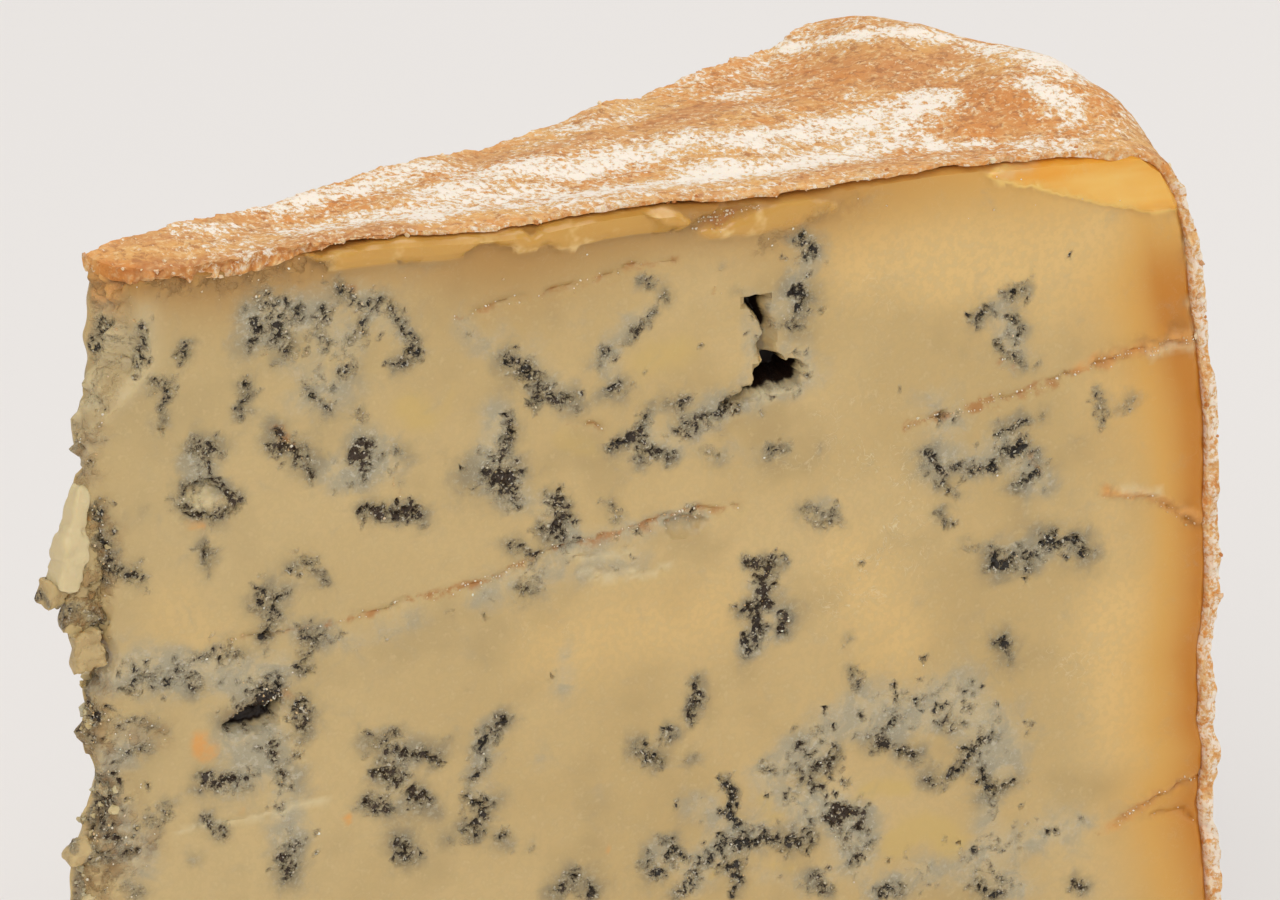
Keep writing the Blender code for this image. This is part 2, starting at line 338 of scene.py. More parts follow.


# what is drawn on the front cut, read from the photograph in its pixels

# Each vein of mould is (half width in px, how dense, points along it)
veins = (
    (9, 0.95, ((252, 318), (262, 330), (250, 340))), (8, 0.9, ((276, 324), (287, 340), (281, 356))),
    (10, 0.7, ((258, 302), (285, 308), (300, 318))), (7, 0.6, ((266, 345), (284, 352))),
    (6, 0.8, ((338, 290), (358, 302), (381, 299))), (6, 0.75, ((367, 313), (356, 338), (347, 342))),
    (7, 0.7, ((326, 338), (319, 333), (322, 308))), (5, 0.5, ((330, 352), (347, 354))),
    (5, 0.85, ((390, 308), (401, 325), (413, 341), (418, 354), (397, 364))), (4, 0.5, ((264, 368),)),
    (6, 0.8, ((184, 345), (178, 359))), (6, 0.9, ((244, 387), (248, 396), (238, 412))),
    (7, 0.8, ((349, 370), (340, 380))), (6, 0.6, ((306, 377), (312, 398), (333, 410))),
    (5, 0.6, ((358, 410), (361, 420))), (8, 1.0, ((276, 428), (276, 444), (296, 449), (312, 469))),
    (5, 0.7, ((150, 377), (163, 384), (170, 382), (161, 410), (163, 421))),
    (8, 0.9, ((191, 444), (214, 446), (193, 456))), (9, 0.95, ((367, 439), (358, 453), (365, 474))),
    (7, 0.85, ((396, 447), (402, 453))), (4, 0.4, ((447, 455),)), (4, 0.4, ((401, 484),)),
    (5, 0.9, ((181, 484), (178, 500), (190, 512), (215, 518), (236, 500), (215, 483), (190, 481))),
    (3, 0.5, ((144, 509),)), (6, 1.2, ((362, 510), (380, 514), (404, 514), (424, 516))),
    (4, 0.8, ((417, 502),)), (6, 0.8, ((90, 566), (107, 569), (124, 572), (144, 578))),
    (4, 0.5, ((137, 559),)), (6, 0.85, ((204, 545), (210, 556), (206, 566))),
    (7, 0.75, ((293, 566), (309, 564), (323, 578))),
    (8, 0.9, ((266, 590), (262, 606), (278, 612), (270, 628), (268, 636))),
    (6, 0.8, ((284, 592), (278, 602))), (7, 0.85, ((300, 632), (314, 640), (326, 634))),
    (6, 0.8, ((300, 670), (306, 655))), (7, 0.7, ((192, 660), (215, 651), (240, 653))),
    (6, 0.7, ((142, 665), (130, 688))), (7, 0.85, ((150, 676), (162, 683), (181, 674), (197, 688))),
    (7, 0.7, ((259, 683), (284, 690))), (9, 1.2, ((228, 722), (250, 712), (276, 700))),
    (8, 1.0, ((262, 692), (280, 686))), (8, 0.9, ((300, 702), (303, 718), (302, 734))),
    (8, 0.85, ((270, 745), (280, 762), (290, 782))), (5, 0.6, ((112, 726), (135, 720), (160, 728))),
    (5, 0.6, ((118, 750), (140, 746), (150, 752))), (8, 1.15, ((204, 780), (222, 780), (242, 778))),
    (5, 0.6, ((171, 805), (159, 828), (143, 817))), (6, 0.8, ((205, 820), (217, 828), (225, 834))),
    (4, 0.6, ((288, 823),)), (5, 0.6, ((192, 860),)), (8, 0.85, ((281, 865), (293, 842), (286, 880))),
    (6, 0.6, ((141, 893), (128, 884))), (9, 0.9, ((505, 362), (518, 366), (534, 376))),
    (8, 0.9, ((528, 372), (545, 390), (556, 398))), (7, 0.85, ((550, 396), (562, 402), (576, 402))),
    (5, 0.8, ((541, 405), (535, 395))), (4, 0.8, ((644, 281), (650, 285))),
    (5, 0.7, ((664, 292), (669, 297))), (4, 0.8, ((655, 313), (641, 327), (628, 341))),
    (5, 0.8, ((610, 351), (603, 364))), (7, 0.95, ((610, 389), (619, 389), (622, 384))),
    (6, 0.7, ((667, 400), (684, 402))), (6, 1.1, ((612, 451), (622, 444), (633, 437))),
    (5, 1.0, ((633, 437), (642, 428), (649, 412))),
    (5, 1.0, ((633, 437), (645, 446), (658, 452), (674, 460))), (5, 0.8, ((642, 455), (640, 466))),
    (6, 0.85, ((678, 428), (700, 420), (722, 411), (734, 400))), (5, 0.7, ((690, 437), (684, 430))),
    (7, 0.65, ((705, 452), (715, 460))), (4, 0.5, ((722, 267),)), (4, 0.5, ((737, 292),)),
    (9, 1.0, ((792, 290), (806, 298), (796, 312))), (6, 0.8, ((785, 322), (799, 329))),
    (5, 0.9, ((794, 240), (803, 237), (812, 243), (812, 252), (803, 256))),
    (5, 0.8, ((769, 453), (783, 449))), (4, 0.35, ((817, 451),)),
    (6, 0.7, ((804, 508), (820, 512), (836, 518))), (5, 0.5, ((812, 522), (842, 524))),
    (12, 1.2, ((480, 476), (495, 476), (508, 482))), (6, 1.0, ((506, 449), (509, 423))),
    (6, 0.9, ((518, 495), (524, 506))), (5, 0.8, ((500, 466), (505, 452))),
    (5, 0.9, ((550, 493), (571, 509))), (6, 1.0, ((572, 511), (561, 526), (558, 541))),
    (7, 0.9, ((556, 498), (566, 520), (548, 535))), (5, 0.6, ((610, 507), (619, 515), (614, 523))),
    (7, 0.85, ((510, 546), (522, 548), (536, 552))), (6, 0.8, ((541, 527), (556, 532), (571, 541))),
    (6, 0.75, ((520, 588), (534, 590), (526, 598))), (4, 0.35, ((447, 610), (456, 624))),
    (5, 1.1, ((748, 563), (764, 564), (778, 563))),
    (6, 1.2, ((769, 570), (762, 583), (770, 592), (762, 600))),
    (6, 1.1, ((773, 600), (760, 603), (743, 610))), (6, 1.1, ((784, 612), (788, 620), (782, 630))),
    (5, 1.0, ((755, 612), (757, 625), (752, 640), (748, 656))), (4, 0.9, ((770, 628), (760, 636))),
    (5, 1.0, ((700, 677), (697, 690), (695, 704), (692, 720))), (5, 0.9, ((666, 730), (672, 738))),
    (5, 0.7, ((693, 759),)), (7, 0.95, ((636, 748), (648, 752), (658, 760))), (3, 0.6, ((850, 637),)),
    (4, 0.7, ((851, 669), (856, 680), (858, 690))), (6, 0.85, ((975, 318), (985, 312))),
    (6, 0.85, ((1008, 295), (1020, 290), (1026, 284))), (7, 0.9, ((1010, 313), (1017, 325), (1017, 337))),
    (6, 0.85, ((998, 345), (1015, 359), (1022, 366))), (5, 0.6, ((1037, 364),)),
    (7, 0.95, ((928, 452), (934, 466), (945, 476))), (7, 0.9, ((955, 468), (968, 467), (993, 467))),
    (7, 0.9, ((1003, 433), (1015, 426), (1028, 421))), (6, 0.7, ((1041, 419),)),
    (8, 0.95, ((1005, 452), (1020, 450), (1034, 456))),
    (7, 0.95, ((1039, 470), (1025, 480), (1015, 486))), (6, 0.7, ((1047, 484),)),
    (6, 0.8, ((941, 486), (955, 494))), (6, 0.6, ((1095, 393), (1100, 408), (1104, 423))),
    (5, 0.5, ((1134, 402), (1120, 410))), (4, 0.5, ((1084, 441),)), (5, 0.8, ((943, 512), (945, 524))),
    (6, 0.6, ((965, 548), (978, 548))), (8, 1.05, ((994, 556), (1004, 569))),
    (7, 1.0, ((1014, 556), (1022, 549), (1032, 558), (1030, 568))),
    (8, 1.05, ((1043, 538), (1052, 546), (1060, 544))),
    (8, 1.05, ((1074, 538), (1080, 548), (1086, 554))), (8, 1.0, ((1000, 640), (1004, 647), (1005, 655))),
    (4, 0.3, ((467, 688),)), (7, 0.9, ((368, 742), (380, 744), (395, 738))),
    (8, 0.95, ((388, 752), (412, 755), (432, 756))), (8, 1.0, ((378, 776), (397, 781), (385, 770))),
    (8, 0.95, ((411, 790), (424, 800), (429, 806))), (7, 0.85, ((367, 802), (380, 806), (392, 808))),
    (5, 0.7, ((404, 766), (400, 776))), (6, 1.05, ((505, 718), (498, 726), (489, 734))),
    (5, 1.0, ((489, 733), (484, 745), (480, 755))), (5, 0.8, ((478, 770), (473, 783))),
    (7, 0.95, ((470, 800), (480, 806), (491, 806))), (7, 0.95, ((478, 820), (478, 832), (466, 828))),
    (6, 0.8, ((496, 836), (505, 840))), (6, 0.7, ((447, 838), (455, 842))), (4, 0.5, ((450, 740),)),
    (8, 1.0, ((396, 840), (402, 848), (409, 860))), (5, 0.5, ((531, 848),)),
    (8, 0.95, ((556, 890), (562, 886))), (6, 0.8, ((570, 875), (580, 880))),
    (8, 0.9, ((585, 884), (592, 894))),
    (4, 1.15, ((727, 778), (731, 790), (732, 800), (727, 815), (734, 824), (739, 831))),
    (5, 0.9, ((725, 835), (718, 849), (725, 856))), (5, 0.8, ((713, 858), (697, 865), (697, 879))),
    (5, 0.8, ((690, 885), (676, 894))), (6, 1.0, ((727, 868), (739, 870), (736, 891))),
    (6, 0.9, ((666, 838), (674, 848), (672, 858))), (7, 0.95, ((650, 858), (651, 870), (662, 872))),
    (7, 1.0, ((743, 842), (760, 838), (784, 842), (806, 840))),
    (6, 0.8, ((808, 826), (812, 836), (810, 848))), (6, 0.7, ((764, 764), (770, 770))),
    (6, 0.8, ((803, 743), (808, 752))), (9, 1.1, ((803, 776), (812, 774), (818, 768), (830, 762))),
    (7, 1.0, ((812, 785), (812, 793))), (6, 0.9, ((835, 759), (838, 752))),
    (7, 1.25, ((826, 819), (838, 811), (853, 810), (862, 818), (863, 827))),
    (6, 0.8, ((842, 826), (848, 836))), (7, 0.9, ((867, 843), (858, 856), (849, 863))),
    (7, 0.9, ((810, 877), (818, 886), (826, 892))), (7, 0.95, ((881, 893), (893, 888), (904, 886))),
    (6, 0.6, ((927, 697), (920, 704))), (6, 0.85, ((897, 713), (890, 722))),
    (7, 1.0, ((876, 738), (884, 742), (890, 736))), (6, 0.9, ((900, 750), (912, 755), (920, 752))),
    (7, 0.8, ((945, 722), (955, 727))), (7, 1.05, ((992, 733), (984, 740), (974, 750), (966, 756))),
    (5, 0.95, ((966, 756), (962, 768), (950, 775))), (7, 0.9, ((930, 776), (940, 782))),
    (5, 0.7, ((913, 762),)), (6, 1.0, ((984, 772), (988, 782), (995, 790))),
    (7, 1.0, ((985, 800), (995, 796))), (6, 0.9, ((1000, 786), (1012, 781))),
    (7, 1.0, ((980, 885), (988, 892), (994, 898))), (7, 0.9, ((1074, 882), (1080, 888))),
    (5, 0.8, ((110, 318), (106, 345), (99, 364))), (5, 0.8, ((140, 322), (143, 341), (133, 364))),
    (7, 1.0, ((96, 512), (104, 540), (108, 560), (100, 582))),
    (6, 0.8, ((84, 690), (96, 716), (90, 744))), (6, 0.8, ((98, 778), (110, 800), (96, 822), (120, 840))),
    (6, 0.7, ((84, 852), (110, 862), (132, 852))),
)
specks = ((946, 349), (899, 388), (996, 420), (1069, 255), (1074, 328), (645, 372), (700, 344), (861, 560))

# Broad milky or grey-blue zones, each (half width in px, strength, points)
milkyZones = (
    (26, 0.75, ((262, 320), (300, 325), (340, 345))), (18, 0.6, ((360, 300), (400, 330))),
    (20, 0.7, ((365, 440), (380, 470), (340, 470))), (16, 0.55, ((190, 450), (205, 500))),
    (22, 0.5, ((520, 350), (560, 390))), (18, 0.7, ((495, 420), (490, 480), (520, 500))),
    (16, 0.6, ((555, 500), (570, 540))), (14, 0.6, ((610, 380), (606, 350), (640, 320))),
    (20, 0.6, ((640, 440), (700, 430), (740, 405))), (16, 0.6, ((760, 340), (800, 300), (800, 250))),
    (14, 0.5, ((820, 380), (760, 400))), (18, 0.6, ((1000, 310), (1015, 350))),
    (22, 0.6, ((940, 465), (1000, 450), (1040, 470))), (16, 0.5, ((990, 550), (1070, 545))),
    (14, 0.55, ((750, 580), (785, 620), (750, 650))),
    (30, 0.95, ((775, 775), (820, 742), (870, 715), (950, 705), (1000, 750))),
    (30, 0.9, ((780, 800), (830, 800), (850, 850))), (20, 0.7, ((1000, 800), (980, 850), (1020, 890))),
    (18, 0.7, ((700, 800), (730, 850), (690, 880))), (16, 0.6, ((480, 600), (560, 570), (640, 560))),
    (16, 0.5, ((330, 640), (420, 625))), (20, 0.6, ((930, 400), (960, 430))),
    (20, 0.65, ((760, 830), (700, 860), (660, 860))), (16, 0.55, ((400, 750), (400, 800))),
    (16, 0.5, ((490, 730), (475, 800))), (22, 0.7, ((270, 720), (290, 760), (230, 780))),
    (24, 0.85, ((90, 680), (150, 670), (200, 670), (270, 680))),
    (26, 0.85, ((130, 740), (110, 800), (130, 870))), (22, 0.7, ((230, 740), (290, 760), (290, 850))),
    (20, 0.6, ((300, 370), (340, 390), (300, 400))), (12, 0.5, ((270, 600), (290, 640))),
    (8, 0.6, ((540, 758),)), (8, 0.5, ((602, 795),)), (10, 0.5, ((470, 660),)),
    (7, 0.9, ((1091, 819), (1060, 828), (1030, 837), (960, 858), (900, 876))), (16, 0.45, ((820, 512),)),
    (12, 0.5, ((760, 880), (820, 880), (900, 880), (980, 880))), (10, 0.45, ((705, 455), (780, 450))),
    (16, 0.55, ((96, 400), (88, 440), (80, 480))), (14, 0.5, ((460, 320), (480, 350), (500, 330))),
    (9, 0.9, ((786, 345), (806, 352), (814, 372), (800, 392), (772, 394), (748, 404), (724, 418))),
    (7, 0.7, ((752, 292), (746, 325), (754, 350), (748, 378))), (9, 0.8, ((560, 690), (570, 650))),
    (9, 0.9, ((560, 546), (640, 530), (700, 516))), (26, 0.6, ((880, 700), (960, 690), (1010, 740))),
    (24, 0.6, ((1060, 828), (980, 850), (880, 884))),
)
# Where the paste is lighter than elsewhere
lightZones = (
    (80, 1.0, ((880, 250), (1000, 260), (1090, 260))), (70, 1.0, ((1120, 620), (1140, 720))),
    (60, 0.6, ((560, 650), (700, 610))), (50, 0.5, ((170, 620), (220, 640))),
    (60, 0.7, ((860, 560), (900, 640))), (50, 0.5, ((1110, 400), (1120, 560))),
)
# Curds of clear yellow paste inside the milky zones
yellowCurds = (
    (13, 1.0, ((866, 788), (888, 782), (908, 788))), (22, 1.0, ((895, 838), (930, 828), (955, 845))),
    (10, 0.9, ((713, 872),)), (24, 0.8, ((405, 405), (425, 415))), (30, 0.7, ((680, 350), (650, 360))),
    (16, 0.6, ((560, 440), (590, 450))), (14, 0.7, ((765, 800), (775, 815))), (12, 0.6, ((330, 360),)),
    (9, 0.7, ((770, 865), (790, 868))), (12, 0.5, ((455, 390), (440, 420))),
)
# Seams where the curds were pressed together: (half width in px, how brown, points)
seams = {
    "upper": (4, 0.75, (
        (456, 318), (492, 306), (513, 298), (555, 290), (605, 276), (645, 262), (673, 261),
    )),
    "long": (4, 0.85, (
        (328, 625), (353, 617), (380, 614), (405, 603), (433, 596), (472, 587), (504, 575), (529, 559),
        (552, 552), (594, 541), (633, 530), (678, 513), (740, 507),
    )),
    "longLeft": (5, 0.5, ((230, 640), (280, 634), (328, 625))),
    "right": (6, 0.85, (
        (907, 428), (950, 413), (987, 400), (1017, 396), (1043, 384), (1060, 378), (1100, 364),
        (1129, 352), (1165, 346), (1208, 339),
    )),
    "crease": (4, 0.6, ((1099, 495), (1152, 497), (1171, 508), (1188, 521), (1210, 519))),
    "fold": (5, 0.7, ((1210, 770), (1180, 784), (1152, 800), (1132, 811), (1095, 836))),
    "foldCrack": (3, 0.6, ((1152, 815), (1182, 809), (1208, 835))),
    "thinBrown": (3, 0.7, ((557, 424), (575, 427), (594, 425), (604, 430))),
}
# Where the seams are brownest, then pale cracks, white curds and brown stains, as strokes of that kind
seamBrownest = (
    (5, 1.0, ((430, 596), (470, 588), (500, 577))),
    (6, 0.45, ((541, 552), (600, 542), (650, 530), (701, 520))),
    (7, 0.8, ((940, 415), (1000, 402), (1050, 384))), (5, 0.8, ((1090, 366), (1150, 350), (1200, 336))),
    (4, 0.7, ((1190, 775), (1150, 798), (1120, 815))), (3, 0.8, ((1150, 502), (1190, 517))),
)
darkLens = ((667, 524), (680, 518), (704, 519), (708, 524), (690, 534), (672, 536))
paleCracks = (
    (2.2, 0.9, ((577, 572), (600, 574), (630, 572), (651, 576))),
    (2.2, 0.8, ((564, 557), (600, 558), (633, 556))), (2.2, 0.8, ((590, 582), (640, 580), (672, 566))),
    (2.5, 0.9, ((180, 832), (235, 820), (300, 806), (330, 800))),
)
whiteCurds = (
    (4, 0.7, ((1120, 488), (1165, 496))), (7, 0.6, ((998, 177), (1030, 169))),
    (5, 0.7, ((1186, 242), (1190, 262))), (6, 0.6, ((1192, 300), (1200, 326))),
    (5, 0.7, ((1200, 345), (1150, 352))), (6, 1.0, ((182, 500), (196, 504), (210, 498))),
    (5, 0.8, ((756, 390), (776, 394), (796, 392))), (5, 0.7, ((806, 372),)),
)
brownStains = (
    (8, 0.9, ((276, 430), (284, 440), (292, 446))), (5, 0.8, ((394, 482), (402, 494))),
    (6, 0.7, ((262, 702), (290, 694))), (7, 0.8, ((345, 284), (352, 290))),
    (6, 0.8, ((716, 290), (722, 296))), (6, 0.8, ((784, 612), (788, 622))),
    (5, 0.7, ((1000, 362), (1012, 368))), (6, 0.7, ((1030, 456), (1040, 470))),
    (8, 0.8, ((96, 575), (92, 600))),
)
# Lumps stained orange: (half width in px, strength, points)
orangeLumps = (
    (11, 1.0, ((198, 742), (204, 752))), (9, 0.9, ((347, 818),)), (6, 0.7, ((606, 850),)),
    (6, 0.6, ((242, 810),)), (7, 0.8, ((190, 523), (200, 528))), (6, 0.7, ((217, 589),)),
    (7, 0.8, ((80, 515), (88, 520))), (11, 0.75, ((1080, 366), (1130, 352), (1206, 330))),
    (8, 0.8, ((1105, 490), (1150, 498), (1206, 518))), (9, 0.7, ((1196, 772), (1155, 796), (1105, 828))),
)
# Crumbly, broken paste near the tip and on the seams
crumbZones = (
    (22, 0.8, ((110, 310), (98, 350), (92, 400))), (16, 0.8, ((86, 430), (80, 480))),
    (15, 1.0, ((100, 512), (104, 560), (98, 600))), (18, 0.9, ((92, 650), (90, 700), (100, 750))),
    (26, 1.0, ((110, 790), (105, 840), (95, 890))), (16, 0.6, ((135, 740), (160, 735))),
    (14, 0.7, ((120, 860), (150, 840))), (13, 0.8, ((1100, 360), (1165, 338), (1200, 322))),
    (8, 0.9, ((1186, 240), (1190, 262))), (8, 0.8, ((1190, 305), (1200, 330))),
    (7, 0.7, ((1185, 520), (1205, 522))), (9, 0.7, ((1105, 490), (1150, 500), (1185, 510))),
    (9, 0.8, ((150, 292), (200, 290), (250, 282), (320, 268))),
    (8, 0.7, ((1190, 778), (1150, 800), (1120, 820))), (7, 0.7, ((230, 715), (270, 705))),
    (9, 0.6, ((760, 245), (830, 215), (860, 205))),
)
# Where fine lines cross the paste
crackleZones = (
    (40, 0.9, ((860, 420), (900, 480), (880, 560), (850, 610))), (30, 0.6, ((820, 400), (800, 460))),
    (26, 0.6, ((1060, 660), (1120, 690))), (24, 0.4, ((860, 280), (900, 330))),
    (20, 0.5, ((540, 640), (600, 600))),
)
openings = {  # outline in px, how deep the opening goes in mm
    "slitTop": ((
        (744, 301), (752, 297), (768, 299), (764, 306), (770, 316), (774, 328), (768, 330), (758, 316),
        (750, 309),
    ), 2.6),
    "slit": ((
        (758, 316), (768, 318), (774, 330), (772, 342), (778, 356), (764, 360), (760, 348), (764, 334),
    ), 1.5),
    "mainHole": ((
        (757, 378), (760, 369), (767, 362), (771, 355), (779, 357), (785, 363), (793, 361), (800, 363),
        (803, 369), (798, 374), (801, 381), (793, 383), (787, 388), (777, 385), (768, 391), (759, 390),
    ), 4.6),
    "tail": (((757, 386), (762, 392), (744, 401), (728, 406), (716, 412), (722, 405), (742, 396)), 1.8),
    "slot": (((226, 728), (240, 716), (262, 712), (280, 700), (278, 720), (262, 728), (244, 734)), 1.9),
    "hollow": (((182, 488), (194, 482), (212, 485), (218, 494), (206, 503), (188, 501)), 1.0),
    "lens": (darkLens, 0.9),
}
# The ivory lip under the crust, the crust's flake, the ledge and the gap behind it painted brown as shade,
# and the waxy wedge
flapOutline = (
    (300, 262), (335, 256), (372, 247), (385, 238), (447, 236), (470, 230), (497, 223), (517, 226),
    (524, 238), (531, 240), (541, 229), (577, 224), (616, 217), (644, 211), (668, 212), (690, 226),
    (672, 232), (640, 237), (616, 240), (590, 246), (563, 253), (540, 247), (534, 251), (515, 254),
    (505, 247), (479, 249), (462, 257), (430, 263), (380, 266), (330, 272),
)
flakeOutline = (
    (640, 214), (664, 203), (700, 206), (726, 209), (714, 215), (711, 221), (700, 221), (686, 228),
    (658, 228),
)
ledgeOutline = (
    (690, 232), (716, 229), (745, 220), (766, 211), (781, 206), (804, 201), (835, 207), (842, 214),
    (800, 226), (760, 236), (700, 240),
)
shadowGapOutline = (
    (684, 230), (712, 224), (730, 216), (757, 211), (760, 214), (738, 222), (716, 229), (692, 233),
)
waxOutline = (
    (984, 183), (1002, 170), (1050, 160), (1100, 152), (1150, 140), (1190, 150), (1230, 190), (1240, 216),
    (1179, 208), (1152, 212), (1095, 202), (1040, 192),
)


# the maps of the front cut that those strokes are drawn into

# A map's cell and its first corner, in mm from the drum's axis and top
faceMap = {"cell": 0.2, "left": -6.0, "top": -6.0, "columns": 590, "rows": 600}


def newMap():
    return np.zeros((faceMap["rows"], faceMap["columns"]))


def mapPlace(x, depth):
    return (x - faceMap["left"]) / faceMap["cell"], (depth - faceMap["top"]) / faceMap["cell"]


def dab(target, x, depth, half, strength):
    column, row = mapPlace(x, depth)
    reach = int(2.4 * half / faceMap["cell"]) + 2
    left, right = max(int(column) - reach, 0), min(int(column) + reach, faceMap["columns"])
    top, bottom = max(int(row) - reach, 0), min(int(row) + reach, faceMap["rows"])
    if left >= right or top >= bottom:
        return
    across = (np.arange(left, right) - column)[None, :] * faceMap["cell"] / half
    down = (np.arange(top, bottom) - row)[:, None] * faceMap["cell"] / half
    patch = target[top:bottom, left:right]
    np.maximum(patch, strength * np.exp(-(across ** 2 + down ** 2)), out=patch)


pxPerMm = 12.85


def pathAlong(points, spacing, place):
    spots = [Vector(place(p)) for p in points]
    path = [spots[0]]
    for start, end in zip(spots, spots[1:]):
        count = max(1, int((end - start).length / spacing))
        path += [start.lerp(end, (i + 1) / count) for i in range(count)]
    return path


def drawStroke(target, points, half, strength, ragged, place=onFront):
    for spot in pathAlong(points, 0.5 * half, place):
        where = Vector((spot.x, spot.y, half)) / (1.6 * half)
        uneven = noise.noise(where)
        dab(target, spot.x + ragged * half * uneven,
            spot.y + ragged * half * noise.noise(where + Vector((9, 4, 2))),
            half * (1 + 0.35 * uneven), strength * (1 - 0.5 * ragged * abs(uneven)))


def fillOutline(target, outline, strength, blur):
    corners = [mapPlace(*onFront(p)) for p in outline]
    columns, rows = np.meshgrid(np.arange(faceMap["columns"]), np.arange(faceMap["rows"]))
    inside = np.zeros(columns.shape, bool)
    for (x1, y1), (x2, y2) in zip(corners, corners[1:] + corners[:1]):
        if y1 != y2:
            crossing = ((rows < y1) != (rows < y2)) & (columns < (x2 - x1) * (rows - y1) / (y2 - y1) + x1)
            inside ^= crossing
    shape = soften(inside.astype(float), blur)
    np.maximum(target, strength * shape, out=target)


def soften(shape, rounds):
    for _ in range(rounds):
        shape = sum((np.roll(shape, way, axis) for axis in (0, 1) for way in (1, -1)), shape) / 5
    return shape


veinDraw = {
    "seed": 23,
    "core": 1.0,
    "halo": 2.3,
    "haloStrength": 0.8,
    "speckNear": 0.8,  # how often a loose speck lies beside a dab
    "speckSize": (0.13, 0.28),
}


def drawVein(maps, points, half, strength, draw, place=onFront):
    # An uneven chain of dabs with loose specks on both sides, in a paler halo
    for spot in pathAlong(points, 0.45 * half, place):
        x, depth = spot + half * Vector(draw.normal(0, 0.35, 2))
        core = veinDraw["core"] * half * draw.uniform(0.45, 1.15)
        dab(maps["mould"], x, depth, core, strength * draw.uniform(0.6, 1.1))
        halo = veinDraw["halo"] * half * draw.uniform(0.8, 1.2)
        dab(maps["haze"], spot.x, spot.y, halo, veinDraw["haloStrength"] * min(strength, 1))
        if draw.random() < veinDraw["speckNear"]:
            turn, far = draw.uniform(0, 2 * math.pi), half * draw.uniform(1.1, 2.6)
            speck = (x + far * math.cos(turn), depth + far * math.sin(turn))
            dab(maps["mould"], *speck, draw.uniform(*veinDraw["speckSize"]), 0.9 * strength)


hiddenVeins = {"seed": 41, "firstDepth": 66, "lastDepth": 104, "clusters": 30}


def drawHiddenVeins(maps):
    # Below the photograph's edge the veins go on as chains of patches of the same kind
    draw = np.random.default_rng(hiddenVeins["seed"])
    for _ in range(hiddenVeins["clusters"]):
        x = draw.uniform(6, 100)
        depth = draw.uniform(hiddenVeins["firstDepth"] + 4 * (x < 40), hiddenVeins["lastDepth"])
        heading = draw.uniform(0, 2 * math.pi)
        for _ in range(draw.integers(2, 7)):
            half, strength = draw.uniform(0.4, 0.8), draw.uniform(0.7, 1.1)
            ahead = (x + 2.2 * math.cos(heading), depth + 2.2 * math.sin(heading))
            if min(depth, ahead[1]) > hiddenVeins["firstDepth"] and 5 < x < 97:
                drawVein(maps, ((x, depth), ahead), half, strength, draw, tuple)
            x, depth = ahead
            heading += draw.normal(0, 0.9)
            if draw.random() < 0.35:
                x, depth = x + draw.normal(0, 2), depth + draw.normal(0, 2)


grooveDraw = {"seam": 0.28, "crack": 0.2}  # half widths in mm
milkSoftening = 14
# Loose mould specks in the milky zones: how many per mm of length and of half width, and their size
milkSpecks = {"perMm": 1.5, "size": (0.14, 0.32)}


def drawFaceMaps():
    names = ("mould", "haze", "milk", "light", "yellow", "rustAndShade", "groove", "crumb", "crackle", "pale",
             "orange", "flap", "flake", "wax",
             "hole")
    maps = {name: newMap() for name in names}
    draw = np.random.default_rng(veinDraw["seed"])
    for half, strength, points in veins:
        drawVein(maps, points, half / pxPerMm, strength, draw)
    for point in specks:
        dab(maps["mould"], *onFront(point), 0.16, 1.6)
    for half, strength, points in milkyZones:
        half /= pxPerMm
        drawStroke(maps["milk"], points, half, strength, 0.9)
        for start, end in zip(points, points[1:]):
            spots = Vector(onFront(start)), Vector(onFront(end))
            for _ in range(int(milkSpecks["perMm"] * (spots[1] - spots[0]).length * half)):
                x, depth = spots[0].lerp(spots[1], draw.random()) + Vector(draw.normal(0, 0.6 * half, 2))
                size = draw.uniform(*milkSpecks["size"])
                dab(maps["mould"], x, depth, size, strength * draw.uniform(0.6, 1.3))
    for name, strokes, ragged in (
            ("yellow", yellowCurds, 0.4), ("light", lightZones, 0.3), ("rustAndShade", tuple(seams.values()), 0.6),
            ("rustAndShade", seamBrownest + brownStains, 0.5), ("pale", paleCracks, 0.4), ("pale", whiteCurds, 0.5),
            ("orange", orangeLumps, 0.4), ("crumb", crumbZones, 0.5), ("crackle", crackleZones, 0.6)):
        for half, strength, points in strokes:
            drawStroke(maps[name], points, half / pxPerMm, strength, ragged)
    for half, strength, points in seams.values():
        drawStroke(maps["groove"], points, grooveDraw["seam"], 1.0, 0.5)
    for half, strength, points in paleCracks:
        drawStroke(maps["groove"], points, grooveDraw["crack"], 0.6, 0.4)
    for half, strength, points in whiteCurds:
        drawStroke(maps["flake"], points, 0.8 * half / pxPerMm, 0.4 * strength, 0.5)
    # the gap behind the flake is painted brown as the shade in it, and sunk a little
    for name, outline, strength, blur in (
            ("rustAndShade", shadowGapOutline, 1.0, 3), ("hole", shadowGapOutline, 0.5, 3), ("flap", flapOutline, 0.9, 1),
            ("flap", ledgeOutline, 0.7, 4), ("flake", flakeOutline, 1.0, 1), ("wax", waxOutline, 1.0, 1),
            *(("hole", outline, deep, 1) for outline, deep in openings.values())):
        fillOutline(maps[name], outline, strength, blur)
    drawHiddenVeins(maps)
    maps["milk"] = soften(maps["milk"], milkSoftening)
    for name in ("haze", "milk"):
        maps[name] *= 1 - 0.85 * np.clip(maps["yellow"], 0, 1)
    return maps


def readMap(target, x, depth):
    column, row = mapPlace(x, depth)
    column = np.clip(column, 0, faceMap["columns"] - 1.001)
    row = np.clip(row, 0, faceMap["rows"] - 1.001)
    left, top = column.astype(int), row.astype(int)
    u, v = column - left, row - top
    upper = target[top, left] * (1 - u) + target[top, left + 1] * u
    lower = target[top + 1, left] * (1 - u) + target[top + 1, left + 1] * u
    return upper * (1 - v) + lower * v


# the drum's form, shared by the paste and the rind

